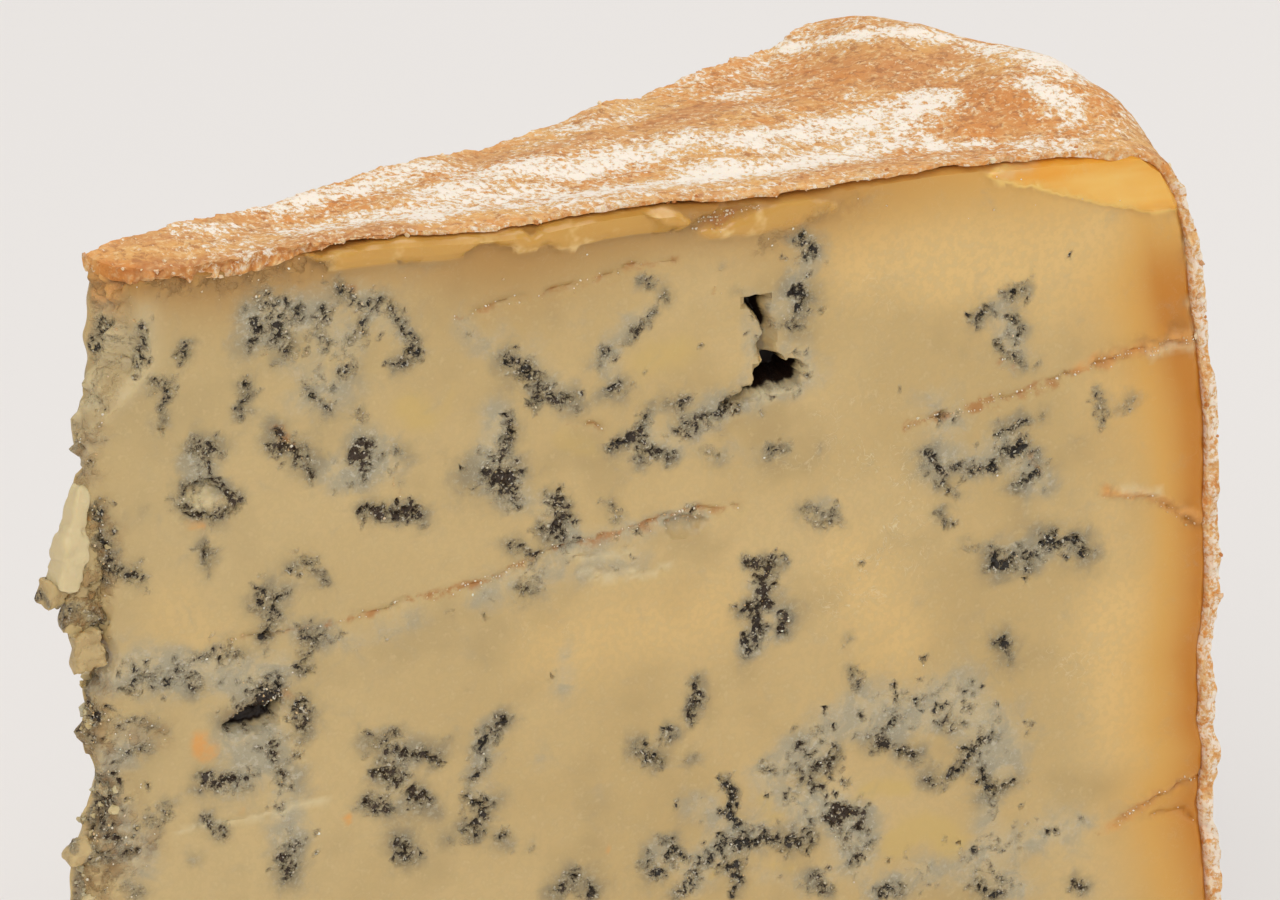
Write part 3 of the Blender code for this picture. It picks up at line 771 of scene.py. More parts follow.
def rindRadius(depth, turn):
    reaches, depths = zip(*[onFront(pixel) for pixel in drum["rimLine"]])
    radius = np.interp(depth / mm, (*depths, 80), (*reaches, drum["radius"] / mm)) * mm
    across = np.clip(turn / drum["angle"], 0, 1)
    fullness = drum["rimFullness"] * np.sin(math.pi * across)
    radius += fullness * np.exp(-np.maximum(depth, 0) / (3 * drum["rimReach"]))
    for number, (foldDepth, sunk, half, slant) in enumerate(drum["folds"]):
        off = (depth - foldDepth - slant * across) / half
        fade = (0.6 + 0.4 * np.cos(drum["foldFade"] * across + number)) * step(across, 0.02, 0.25)
        radius -= sunk * fade * np.exp(-off * off)
    return radius


def shapeSide(points):
    depth = drum["height"] - points[:, 2]
    reach = np.hypot(points[:, 0], points[:, 1])
    turn = np.arctan2(points[:, 1], points[:, 0])
    outer = step(reach, 0.72 * drum["radius"], 0.97 * drum["radius"])
    high, size, shift = drum["sideWave"]
    wanted = rindRadius(depth, turn) + high * wave(points, size, shift) * step(turn, 0.01, 0.08)
    points[:, :2] *= (1 + outer * (wanted / drum["radius"] - 1))[:, None]


def shapeTop(points):
    near = step(points[:, 2], drum["height"] - 22 * mm, drum["height"])
    high, size, shift = drum["topWave"]
    rise, riseX, riseHalf = drum["topRise"]
    lift = high * wave(points, size, shift) + rise * np.exp(-((points[:, 0] - riseX) / riseHalf) ** 2)
    edge = step(points[:, 2], drum["height"] - 3.2 * mm, drum["height"] - 0.6 * mm)
    edge *= 1 - step(points[:, 1], 1 * mm, 8 * mm)
    edge *= step(points[:, 0], 14 * mm, 24 * mm) * (1 - 0.7 * step(points[:, 0], 84 * mm, 98 * mm))
    points[:, 2] += near * lift + drum["frontRise"] * edge
    rear, reach = beforeRear(points), np.hypot(points[:, 0], points[:, 1])
    fading = 9 * mm + 15 * mm * step(points[:, 0], 45 * mm, 85 * mm)
    atRim = step(reach, 68 * mm, 99 * mm) * step(points[:, 1], 1 * mm, 14 * mm)
    far = np.maximum(1 - step(rear, 0.5 * mm, fading), atRim)
    columns, raised = zip(*drum["skyline"])
    points[:, 2] += near * far * np.interp(acrossPhoto(points), columns, raised) * mm


def shapeTip(points):
    near = 1 - step(points[:, 0], 8 * mm, 16 * mm)
    points[:, 0] += near * (0.8 * mm * wave(points, 2.6 * mm, 6.2) + 0.6 * mm * wave(points, 5 * mm, 8.8))


def shapedPoints(points):
    shaped = points.copy()
    shapeTip(shaped)
    shapeSide(shaped)
    shapeTop(shaped)
    return shaped


def beforeRear(points):
    return points[:, 0] * math.sin(drum["angle"]) - points[:, 1] * math.cos(drum["angle"])


rearOut = np.array((-math.sin(drum["angle"]), math.cos(drum["angle"]), 0))
frontOut = np.array((0, -1.0, 0))


def tipDistance(depth, y):
    depths, distances = zip(*tip["edge"])
    front = np.interp(depth / mm, depths, distances) * mm
    below = 1 / (1 + math.exp(-(depth - 10 * mm) / (1.5 * mm)))
    slant = tip["slantTop"] * (1 - below) + tip["slantBelow"] * below
    high, size = tip["crag"]
    return front - slant * y + high * noise.noise(Vector((0, y, depth)) / size + drum["noiseStart"])


def addSector(name, radius, top, rounding):
    # A drum with its top rim bevelled, bisected down to the wedge's sector
    clearSelection()
    bpy.ops.mesh.primitive_cylinder_add(vertices=240, radius=radius, depth=top, location=(0, 0, top / 2))
    bpy.ops.object.transform_apply(location=True)
    made = bpy.context.object
    made.name = name
    selectFaces(made, lambda centres, normals: normals[:, 2] > 0.9)
    bpy.ops.mesh.bevel(offset=rounding, segments=4, affect="EDGES")
    bpy.ops.mesh.select_all(action="SELECT")
    bpy.ops.mesh.bisect(plane_co=(0, 0, 0), plane_no=(0, -1, 0), use_fill=True, clear_outer=True)
    bpy.ops.mesh.select_all(action="SELECT")
    bpy.ops.mesh.bisect(plane_co=(0, 0, 0), plane_no=tuple(rearOut), use_fill=True, clear_outer=True)
    bpy.ops.object.mode_set(mode="OBJECT")
    return made


def addTipBreak():
    clearSelection()
    bpy.ops.mesh.primitive_cube_add(size=1, location=(0, 0, drum["height"] / 2))
    breaker = bpy.context.object
    breaker.scale = (30 * mm, 60 * mm, drum["height"] + 40 * mm)
    bpy.ops.object.transform_apply(location=True, scale=True)
    selectFaces(breaker, lambda centres, normals: normals[:, 0] > 0.9)
    bpy.ops.mesh.subdivide(number_cuts=90)
    bpy.ops.object.mode_set(mode="OBJECT")
    points = pointsOf(breaker)
    for point in points:
        point[0] = tipDistance(drum["height"] - point[2], point[1]) if point[0] > 14 * mm else -30 * mm
    putPoints(breaker, points)
    return breaker


def addLump(radii, place):
    clearSelection()
    bpy.ops.mesh.primitive_ico_sphere_add(subdivisions=3, radius=1)
    lump = bpy.context.object
    points = pointsOf(lump)
    shift = Vector(place) * 900
    swell = np.array([1 + tip["pocketCrag"] * noise.noise(Vector(p) * 1.6 + shift) for p in points])
    putPoints(lump, points * swell[:, None] * np.array(radii) + np.array(place))
    return lump


# the paste: the cut faces, their veins, openings, seams and folded flap

paste = {
    "top": 0.65 * mm,  # how far it stays under the rind's top
    "side": 0.6 * mm,
    "voxel": 1.1 * mm,
    "flapProud": 0.9 * mm,
    "flakeProud": 0.9 * mm,
    "frontLift": 0.4 * mm,  # how much nearer the top it comes at its cut edges
    "waxProud": 0.5 * mm,
    "pitDeep": 0.4 * mm,
    "grooveDeep": 0.55 * mm,
    "crumbHigh": 0.55 * mm,
}


paintedMarks = (
    "mould", "haze", "milk", "light", "yellow", "rustAndShade", "crackle", "pale", "crumb", "orange", "flap",
    "wax", "dark", "pit", "amber", "groove", "creviceShade",
)


def pasteBlank():
    radius, top = drum["radius"] - paste["side"], drum["height"] - paste["top"]
    body = addSector("pasteBody", radius, top, drum["rimRounding"])
    cutWith(body, addTipBreak())
    for depth, x, y, radii in tip["pockets"]:
        place = (x * mm, y * mm, drum["height"] - depth * mm)
        cutWith(body, addLump([r * mm for r in radii], place))
    applyModifier(body, "REMESH", mode="VOXEL", voxel_size=paste["voxel"])
    return body


def drawnAt(points):  # where each point lies on the maps, in mm
    shaped = shapedPoints(points)
    return shaped[:, 0] / mm, (drum["height"] - shaped[:, 2]) / mm


def subdivideCuts(body, maps):
    # Finer faces on the front cut and the tip, and finer still where veins, edges and crumbs are
    def frontOrTip(centres, normals):
        front = (centres[:, 1] < 0.4 * mm) & (normals[:, 1] < -0.6)
        return front | ((centres[:, 0] < 17 * mm) & (normals[:, 0] < 0.3) & (centres[:, 2] > 0.5 * mm))

    def detailed(centres, normals):
        x, depth = drawnAt(centres)
        shaping = ("mould", "groove", "crumb", "hole", "flap", "flake")
        busy = sum(readMap(maps[name], x, depth) for name in shaping)
        edges = np.abs(readMap(maps["wax"], x, depth) - 0.5) < 0.45
        front = (centres[:, 1] < 0.3 * mm) & (normals[:, 1] < -0.5)
        tipFace = (centres[:, 0] < 12 * mm) & (normals[:, 0] < -0.3) & (centres[:, 2] > 0.5 * mm)
        return (front & ((busy > 0.35) | edges)) | tipFace

    def openingEdges(centres, normals):
        opened = readMap(maps["hole"], *drawnAt(centres)) > 0.02
        return (centres[:, 1] < 0.3 * mm) & (normals[:, 1] < -0.5) & opened

    for test in (frontOrTip, detailed, openingEdges):
        selectFaces(body, test)
        bpy.ops.mesh.subdivide(number_cuts=1)
        bpy.ops.object.mode_set(mode="OBJECT")


def pitMask(points, mould):
    # Dark crevices between the lumps along the vein, and pits where it is densest
    crease = step(1 - lumpy(points, 0.95 * mm, 12.4, mould > 0.15), 0.62, 0.92) * step(mould, 0.3, 0.75)
    grain = waves(points, (0.6, 1.1 * mm, 12.4), (0.5, 0.55 * mm, 3.3))
    return np.maximum(crease, step(grain, 0.46 - 0.36 * mould, 0.60 - 0.34 * mould))


def shapeFront(points, inward, marks):
    near = 1 - step(inward, 0.5 * mm, 5 * mm)
    atFront = 1 - step(inward, 0.3 * mm, 1.5 * mm)
    out = waves(points, drum["cutWave"], (0.05 * mm, 4 * mm, 5.5))
    out += paste["flapProud"] * marks["flap"] * (1 + 0.25 * wave(points, 2.2 * mm, 1.9))
    out += paste["flakeProud"] * marks["flake"] * (1 + 0.3 * wave(points, 1.1 * mm, 2.9))
    out += paste["waxProud"] * marks["wax"]
    out += 0.4 * mm * marks["orange"] - paste["grooveDeep"] * marks["groove"] * marks["seamOpen"]
    crumbled = 0.8 * wave(points, 1.3 * mm, 8.1) + 0.7 * marks["lump"]
    out += paste["crumbHigh"] * marks["crumb"] * crumbled * (1 - marks["tip"])
    out += 0.14 * mm * np.clip(marks["flap"], 0, 1) * wave(points * np.array((0.4, 1, 1.7)), 1.6 * mm, 9.3)
    rim = rindRadius(drum["height"] - points[:, 2], np.zeros(len(points))) - 2 * mm
    nearRim = step(np.hypot(points[:, 0], points[:, 1]), rim - 2 * mm, rim)
    out += 0.2 * mm * nearRim * wave(points, 1.6 * mm, 4.4)
    points += (near * out)[:, None] * frontOut
    points += (atFront * (paste["pitDeep"] * marks["pit"] + mm * marks["hole"]))[:, None] * -frontOut


def surfaceMarks(points, maps):
    # Reads the maps for every vertex: the front as drawn, the rear and the base turned about
    depth = (drum["height"] - points[:, 2]) / mm
    front, rear = points[:, 1], beforeRear(points)
    shaped = shapedPoints(points)
    onRear = (rear < 0.6 * mm) & (front > 0.8 * mm)
    onBase = points[:, 2] < 0.4 * mm
    x = np.where(onRear, np.hypot(points[:, 0], points[:, 1]), shaped[:, 0]) / mm
    down = np.where(onRear, drum["height"] / mm - depth, (drum["height"] - shaped[:, 2]) / mm)
    down = np.where(onBase, 30 + points[:, 1] / mm, down)
    blurX = waves(points, (0.45, 1.5 * mm, 15.1), (0.2, 0.6 * mm, 15.9))
    blurDown = waves(points, (0.45, 1.5 * mm, 25.1), (0.2, 0.6 * mm, 25.9))
    marks = {}
    for name in ("mould", "haze", "milk", "light", "yellow", "rustAndShade", "crackle", "pale", "crumb", "orange"):
        marks[name] = readMap(maps[name], x + blurX, down + blurDown)
    for name in ("groove", "flap", "flake", "wax"):
        marks[name] = readMap(maps[name], x + 0.35 * blurX, down + 0.35 * blurDown)
    marks["hole"] = readMap(maps["hole"], x + 0.8 * blurX, down + 0.8 * blurDown)
    plain = ~(onRear | onBase)
    for name in ("flap", "flake", "wax", "hole", "crumb", "groove", "rustAndShade"):
        marks[name] = marks[name] * plain
    # the broken tip: its crease, crumbs, pale and orange top, and mould lower down
    tipFace = np.zeros(len(points))
    for i in np.nonzero(plain & (points[:, 0] < 19 * mm) & (front > 0.3 * mm))[0]:
        tipFace[i] = points[i, 0] - tipDistance(drum["height"] - points[i, 2], points[i, 1])
    fromFront = front + 0.8 * mm * wave(points, 2.2 * mm, 47.0)
    tipFace = (tipFace != 0) * (1 - step(tipFace, 0.7 * mm, 1.5 * mm)) * step(fromFront, 0.1 * mm, 1.7 * mm)
    marks["tip"] = tipFace
    marks["crease"] = tipFace * np.exp(-(wave(points, 2.6 * mm, 41.0) / 0.11) ** 2)
    upper = tipFace * (1 - step(depth, 11, 16))
    marks["crumb"] = np.maximum(marks["crumb"], 0.3 * tipFace)
    marks["pale"] = np.maximum(marks["pale"], 0.7 * upper * step(depth, 2, 6))
    # the crease is painted brown, as shade in it
    marks["rustAndShade"] = np.maximum(marks["rustAndShade"], 0.5 * marks["crease"])
    edgeDepths, edgeDistances = zip(*tip["edge"])
    fromEdge = x - np.interp(down, edgeDepths, edgeDistances)
    ridge = plain * (front < 1.2 * mm) * np.exp(-(fromEdge / 1.3) ** 2)
    ridge *= 1 - step(down, 9, 13)
    ridge *= step(down, 1, 3)
    marks["flake"] += tip["lip"] * ridge
    marks["orange"] = np.maximum(marks["orange"], 0.75 * upper * (1 - step(depth, 2.5, 7)))
    marks["pale"] = np.maximum(marks["pale"], 0.5 * ridge)
    marks["haze"] = np.maximum(marks["haze"], 0.4 * (tipFace - upper))
    lowTip = step(depth, 36, 46)
    spotted = 0.08 + 0.14 * lowTip + 0.6 * wave(points, 4 * mm, 33.0)
    marks["milk"] = np.maximum(marks["milk"], 0.75 * lowTip * tipFace)
    small = step(wave(points, 1.3 * mm, 34.0), 0.16, 0.36)
    specked = upper * 0.75 * small * step(depth, 3, 8)
    marks["mould"] = np.maximum(marks["mould"], (tipFace - upper) * spotted + specked)
    # relief of crumbs, and the gaps between them, painted darker as shade
    marks["pit"] = pitMask(points, marks["mould"]) * step(marks["mould"], 0.05, 0.3)
    broken = np.maximum(tipFace, np.clip(marks["crumb"], 0, 1))
    coarse = lumpy(points, 1.7 * mm, 45.0, broken > 0.08)
    fine = lumpy(points, 0.85 * mm, 46.0, broken > 0.08)
    marks["lump"] = coarse + 0.5 * fine - 0.75
    marks["creviceShade"] = broken * np.maximum(step(1 - coarse, 0.6, 0.95), 0.6 * step(1 - fine, 0.6, 0.95))
    # painted shade deep in the openings: the deeper, the darker
    marks["dark"] = 0.95 * step(marks["hole"], 0.9, 2.6)
    marks["seamOpen"] = step(wave(points, 2.4 * mm, 17.7), -0.35, 0.15)
    return marks


def amberMark(points):
    # Paste darkens to amber towards the rind, most of it at the side
    depth = drum["height"] - points[:, 2]
    reach = np.hypot(points[:, 0], points[:, 1])
    fromSide = np.maximum(rindRadius(depth, np.arctan2(points[:, 1], points[:, 0])) - 1.4 * mm - reach, 0)
    uneven = 1 + 0.45 * wave(points, 14 * mm, 18.2)
    side = np.exp(-fromSide / (4.2 * mm * uneven)) * (0.4 + 0.6 * step(depth, 6 * mm, 13 * mm))
    top = 0.5 * np.exp(-np.maximum(depth - 1 * mm, 0) / (4.2 * mm * uneven))
    return np.clip(np.maximum(side, top), 0, 1)


def makePaste(maps, material):
    body = pasteBlank()
    subdivideCuts(body, maps)
    points = pointsOf(body)
    marks = surfaceMarks(points, maps)
    marks["amber"] = amberMark(points)
    front, rear = points[:, 1].copy(), beforeRear(points)
    grounded = points[:, 2] < 0.5 * mm
    shapeTip(points)
    broken = tip["rough"] * (wave(points, 2.1 * mm, 43.0) + 0.6 * wave(points, 0.8 * mm, 44.0))
    points[:, 0] += tip["crease"] * marks["crease"] - marks["tip"] * (broken + tip["lump"] * marks["lump"])
    shapeFront(points, front, marks)
    nearRear = 1 - step(rear, 0.5 * mm, 5 * mm)
    high, size, shift = drum["cutWave"]
    rearPits = (rear < 0.6 * mm) * (front > 0.8 * mm) * 0.35 * mm * marks["pit"]
    rearMove = nearRear * high * wave(points, size, shift) - rearPits
    points += rearMove[:, None] * rearOut
    atCut = np.maximum(1 - step(front, 0.8 * mm, 3 * mm), 1 - step(rear, 0.8 * mm, 3 * mm))
    nearTop = step(points[:, 2], drum["height"] - 4 * mm, drum["height"] - 1.2 * mm)
    points[:, 2] += paste["frontLift"] * atCut * nearTop
    shapeSide(points)
    shapeTop(points)
    points[grounded, 2] = 0
    putPoints(body, points)
    cream = 1 - 0.8 * step(points[:, 0], 60 * mm, 75 * mm)  # crumbs near the rind are cream, not brown
    marks["crumb"] *= cream
    # and the painted shade in the crevices between them is lighter there
    marks["creviceShade"] *= 0.5 + 0.5 * cream
    for name in paintedMarks:
        paintAttribute(body, name, marks[name])
    finishPiece(body, material)
    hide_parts("cheese_wedge")
    return body


# the rind: the top and side skins, crumbly where they were cut

rind = {
    "topThick": 1.05 * mm,
    "sideThick": 1.25 * mm,
    "innerRough": 0.3 * mm,
    "voxel": 0.5 * mm,
    "proudTop": 0.4 * mm,
    "proudSide": 0.2 * mm,
    "frontThin": 0.34,  # the top crust is this much of its thickness at the cuts
    "tipThick": 1.3,  # and this much near the tip, up to the next value, in mm from the axis
    "tipReach": (20, 28),
    "crumble": 0.3 * mm,
    "thinBloom": -0.1,  # how little powder the rest of the top has
    "tipBloom": 0.7,  # how much less there is towards the tip
    "grain": 0.12 * mm,
    "wrinkle": 0.2 * mm,
}
# White powder on the top, read from the photograph: (half width in mm, strength, points in px)
powderStreaks = (
    (3.2, 0.85, ((430, 222), (470, 205), (520, 192))), (3.0, 0.9, ((430, 195), (480, 182), (530, 170))),
    (2.6, 1.0, ((560, 172), (610, 158), (660, 148))),
    (2.2, 0.9, ((520, 208), (600, 198), (680, 186), (728, 182))),
    (3.0, 1.0, ((690, 178), (760, 168), (840, 160))),
    (2.8, 1.0, ((752, 145), (820, 132), (900, 118), (965, 100))),
    (1.5, 0.8, ((571, 118), (600, 114), (622, 112))), (1.4, 0.7, ((717, 88), (740, 80), (756, 72))),
    (2.0, 0.8, ((265, 215), (330, 192), (420, 168))), (1.8, 0.7, ((300, 235), (360, 220), (400, 210))),
    (2.0, 1.0, ((835, 24), (900, 30), (980, 42))), (2.2, 1.0, ((1021, 52), (1070, 66), (1108, 86))),
    (1.8, 0.9, ((1077, 97), (1105, 108), (1128, 118))),
    (1.8, 0.9, ((1060, 148), (1100, 145), (1133, 142))), (2.2, 1.1, ((860, 146), (900, 141), (940, 140))),
    (1.5, 0.6, ((940, 146), (1000, 140))), (1.2, 0.6, ((180, 245), (230, 232))),
    (1.6, 0.3, ((980, 75), (1020, 90))), (1.4, 0.5, ((560, 215), (640, 203))),
)

# Where the bare crust shows, orange-brown
bareZones = (
    (5.5, 1.0, ((860, 62), (940, 80), (1020, 102))), (2.6, 0.8, ((600, 122), (660, 108), (740, 92))),
    (2.4, 0.9, ((1010, 120), (1050, 128))), (2.2, 0.7, ((170, 236), (250, 222))),
    (2.0, 0.6, ((800, 96), (850, 84))),
)


topMapShift = 30  # mm by which the top is moved on its maps, to lie inside them


def onTopMap(pixel):
    x, y = onTop(pixel)
    return x, y + topMapShift


def topMaps():
    drawn = []
    for strokes in (powderStreaks, bareZones):
        target = newMap()
        for half, strength, points in strokes:
            drawStroke(target, points, half, strength, 0.5, onTopMap)
        drawn.append(target)
    return drawn


def rindBlank(inside):
    # A sector with an uneven core taken out, so that a thin shell is left
    shell = addSector("rindShell", drum["radius"], drum["height"], drum["rimRounding"])
    clearSelection()
    bpy.ops.mesh.primitive_cylinder_add(vertices=300, radius=drum["radius"] - rind["sideThick"],
                                        depth=inside + 10 * mm,
                                        location=(0, 0, (inside - 10 * mm) / 2))
    core = bpy.context.object
    bpy.ops.object.transform_apply(location=True)
    applyModifier(core, "REMESH", mode="VOXEL", voxel_size=1.6 * mm)
    points = pointsOf(core)
    outward = points / np.array((1, 1, 0.98)) / drum["radius"]
    outward[:, 2] = np.where(points[:, 2] > inside - 1 * mm, 1, 0)
    outward[:, :2] *= (np.hypot(points[:, 0], points[:, 1]) > drum["radius"] - 3 * mm)[:, None]
    rough = wave(points, 3.2 * mm, 6.6) + 0.6 * wave(points, 7 * mm, 2.9)
    putPoints(core, points + outward * (rind["innerRough"] * rough)[:, None])
    cutWith(shell, core)
    cutWith(shell, addTipBreak())
    applyModifier(shell, "REMESH", mode="VOXEL", voxel_size=rind["voxel"])
    selectFaces(shell, lambda centres, normals: centres[:, 1] < 1.3 * mm)
    bpy.ops.mesh.subdivide(number_cuts=1)
    bpy.ops.object.mode_set(mode="OBJECT")
    return shell


def makeRind(material):
    inside = drum["height"] - rind["topThick"]
    shell = rindBlank(inside)
    points = pointsOf(shell)
    depth = drum["height"] - points[:, 2]
    reach = np.hypot(points[:, 0], points[:, 1])
    front, rear = points[:, 1].copy(), beforeRear(points)
    grounded = points[:, 2] < 0.4 * mm
    white, bare = (readMap(drawn, points[:, 0] / mm, points[:, 1] / mm + topMapShift)
                   for drawn in topMaps())
    # the outer skin, the cut edges and how crumbly they are
    onSkin = np.maximum(step(points[:, 2], inside + 0.45 * mm, inside + 0.9 * mm),
                        step(reach, drum["radius"] - 0.75 * mm, drum["radius"] - 0.35 * mm))
    nearFront, nearRear = 1 - step(front, 0.3 * mm, 3 * mm), 1 - step(rear, 0.3 * mm, 3 * mm)
    margin = np.minimum(front, rear) + 0.9 * mm * wave(points, 2.4 * mm, 28.0)
    cutEdge = np.maximum((1 - step(margin, 0.3 * mm, 1.3 * mm)) * (1 - onSkin),
                         0.35 * (1 - step(margin, 0.4 * mm, 1.6 * mm)) * onSkin)
    crumbly = waves(points, (1.0, 1.2 * mm, 31.0), (0.7, 0.6 * mm, 32.0))
    points[:, 2] += rind["crumble"] * (1 - onSkin) * nearFront * crumbly
    granular = nearFront * (1 - step(points[:, 0], 26 * mm, 42 * mm))
    grainy = np.maximum(granular, 0.6 * nearFront * (1 - onSkin))
    coarse = lumpy(points, 1.1 * mm, 35.0, grainy > 0.05)
    fineLump = lumpy(points, 0.6 * mm, 36.0, grainy > 0.05)
    lump = coarse + 0.5 * fineLump - 0.7
    # the crevices between the lumps are painted darker, as shade
    creviceShading = grainy * np.maximum(step(1 - coarse, 0.55, 0.95), 0.7 * step(1 - fineLump, 0.55, 0.95))
    # the crust is thin along the cuts, and thicker at the tip and the rim
    nearTip = 1 - step(points[:, 0] / mm, *rind["tipReach"])
    thin = rind["frontThin"] + (rind["tipThick"] - rind["frontThin"]) * nearTip
    thin += (1 - thin) * step(reach, drum["radius"] - 10 * mm, drum["radius"] - 4.5 * mm)
    overTop = step(points[:, 2], inside - 2 * mm, inside - 0.3 * mm) * np.maximum(nearFront, nearRear)
    points[:, 2] = np.where(overTop > 0, drum["height"] - depth * (1 - overTop * (1 - thin)), points[:, 2])
    shapeTip(points)
    # its cut edges stand a little proud of the paste, and are ragged
    high, size, shift = drum["cutWave"]
    top = step(points[:, 2], inside - 3 * mm, inside)
    proud = rind["proudTop"] * top + rind["proudSide"] * (1 - top)
    ragged = waves(points, (0.75 * mm, 3.3 * mm, 3.9), (0.35 * mm, 1.3 * mm, 13.9),
                   (0.16 * mm, 0.55 * mm, 14.9))
    base = high * wave(points, size, shift) + proud + ragged
    points += (nearFront * (base + 0.45 * mm * granular * lump))[:, None] * frontOut
    points += (nearRear * base)[:, None] * rearOut
    shapeSide(points)
    shapeTop(points)
    # grain and wrinkles of the skin
    fine = waves(points, (rind["grain"], 1.1 * mm, 21.0), (rind["wrinkle"], 3.4 * mm, 22.0),
                 (0.5 * rind["grain"], 0.6 * mm, 23.0))
    isTop = step(points[:, 2], drum["height"] - 4 * mm, drum["height"] - 2 * mm)
    points[:, 2] += fine * onSkin * isTop
    side = (1 - isTop) * onSkin * fine * 1.5 / np.maximum(reach, mm)
    points[:, :2] *= 1 + side[:, None]
    points[:, 2] = np.where(grounded, 0, np.maximum(points[:, 2], 0))
    putPoints(shell, points)
    lessAtTip = rind["tipBloom"] * (1 - step(points[:, 0], 8 * mm, 17 * mm))
    powdered = np.maximum(white, rind["thinBloom"]) - lessAtTip - 0.5 * bare * (1 - np.clip(white, 0, 1))
    for name, values in (("bloom", powdered), ("bare", bare), ("cutEdge", cutEdge), ("creviceShade", creviceShading),
                         ("isTop", isTop)):
        paintAttribute(shell, name, values)
    finishPiece(shell, material)
    return shell


# broken pieces at the tip, the crust's flake and the loose crumbs

# size in mm, centre as a pixel, how far behind the front cut, turn, taper, how mouldy and how brown
flakes = (
    {"size": (2.2, 2.4, 8.6), "pixel": (73, 538), "behind": 0.4, "turn": (0.05, 0.2, 0.25), "taper": 0.55,
     "stain": (0.12, 0.1)},
    {"size": (2.4, 2.2, 8.4), "pixel": (95, 536), "behind": 1.2, "turn": (0.0, 0.12, 0.2), "taper": 0.8,
     "stain": (0.5, 1.0)},
    {"size": (1.9, 1.9, 2.6), "pixel": (56, 598), "behind": 0.7, "turn": (0.2, 0.1, 0.3), "taper": 1.0,
     "stain": (0.6, 0.3)},
    {"size": (3.4, 2.0, 4.6), "pixel": (86, 605), "behind": 1.4, "turn": (0.0, 0.0, 0.1), "taper": 0.9,
     "stain": (0.5, 1.4)},
    {"size": (2.6, 2.2, 3.2), "pixel": (88, 649), "behind": 0.7, "turn": (0.0, -0.06, 0.15), "taper": 1.0,
     "stain": (0.1, 0.35)},
    {"size": (2.6, 2.0, 1.7), "pixel": (86, 852), "behind": 0.8, "turn": (0.1, 0.15, 0.1), "taper": 0.7,
     "stain": (0.5, 0.3)},
)


def addFlake(flake):
    clearSelection()
    x, depth = onFront(flake["pixel"])
    bpy.ops.mesh.primitive_cube_add(size=1)
    made = bpy.context.object
    made.scale = [s * mm for s in flake["size"]]
    bpy.ops.object.transform_apply(scale=True)
    bpy.ops.object.mode_set(mode="EDIT")
    bpy.ops.mesh.select_all(action="SELECT")
    bpy.ops.mesh.bevel(offset=0.2 * mm, segments=1, affect="EDGES")
    bpy.ops.object.mode_set(mode="OBJECT")
    applyModifier(made, "REMESH", mode="VOXEL", voxel_size=0.24 * mm)
    points = pointsOf(made)
    points[:, :2] *= (1 + (flake["taper"] - 1) * (0.5 + points[:, 2] / (flake["size"][2] * mm)))[:, None]
    shift = x * 0.37
    push = waves(points, (0.6 * mm, 2.8 * mm, shift), (0.4 * mm, 1.0 * mm, shift + 3),
                 (0.14 * mm, 0.45 * mm, shift + 5))
    up = np.abs(points[:, 2]) / (flake["size"][2] * mm)
    side = step(points[:, 0], -0.2 * mm, 0.8 * mm) + step(up, 0.36, 0.5)
    torn = np.clip(side, 0, 1) * (0.25 + min(flake["stain"][1], 1))
    coarse, fine = lumpy(points, 1.0 * mm, shift, torn > 0.05), lumpy(points, 0.55 * mm, shift, torn > 0.05)
    push += 0.55 * mm * torn * (coarse + 0.5 * fine - 0.8)
    push += 0.5 * mm * wave(points * np.array((1, 1, 0.5)), 2.4 * mm, shift + 8)
    direction = points / np.maximum(np.linalg.norm(points, axis=1), 1e-6)[:, None]
    putPoints(made, points + direction * push[:, None])
    made.rotation_euler = flake["turn"]
    made.location = (x * mm, flake["behind"] * mm, drum["height"] - depth * mm)
    bpy.ops.object.transform_apply(location=True, rotation=True)
    mouldy, brown = flake["stain"]
    low = step(0.5 + wave(pointsOf(made), 1.6 * mm, 30.0), 0.35, 0.7)
    for name, values in (("mould", mouldy * low), ("haze", mouldy * low),
                         ("crumb", np.full(len(low), brown)),
                         ("pale", np.full(len(low), 0.9 * (brown < 0.2)))):
        paintAttribute(made, name, values)
    return made


def makeFlakes(material):
    made = joinAll([addFlake(flake) for flake in flakes], "tipFlakes")
    paintMissing(made)
    finishPiece(made, material)


lumps = {"seed": 29, "count": 150, "small": 0.15 * mm, "large": 0.55 * mm}


def makeLumps(body, material):
    # Broken paste clings to the tip: uneven lumps, more of them lower down and beside the slab
    draw = np.random.default_rng(lumps["seed"])
    points = pointsOf(body) - np.array(drum["axisPlace"])
    depth = (drum["height"] - points[:, 2]) / mm
    atTip = (points[:, 0] < 12 * mm) & (points[:, 1] > 0.2 * mm)
    atTip &= (beforeRear(points) > 0.3 * mm) & (depth > 3)
    chance = atTip * (0.15 + step(depth, 14, 20)) * np.clip(0.25 + wave(points, 3 * mm, 61.0), 0, 1)
    count = lumps["count"]
    picked = draw.choice(len(points), count, replace=False, p=chance / chance.sum())
    sizes = lumps["small"] + (lumps["large"] - lumps["small"]) * draw.random(count) ** 3
    made = scatter(points[picked], sizes, draw, 2, "tipLumps")
    each = len(made.data.vertices) // count
    mouldy, brown, clean = draw.random(count) ** 2, draw.random(count), draw.random(count)
    for name, values in (("mould", 0.15 * mouldy), ("milk", mouldy), ("crumb", 0.8 * brown * (clean < 0.4)),
                         ("pale", 0.5 * (clean > 0.5))):
        paintAttribute(made, name, np.repeat(values, each))
    paintMissing(made)
    finishPiece(made, material)


crumbs = {"seed": 17, "count": 300, "small": 0.08 * mm, "large": 0.26 * mm, "shapes": 6}


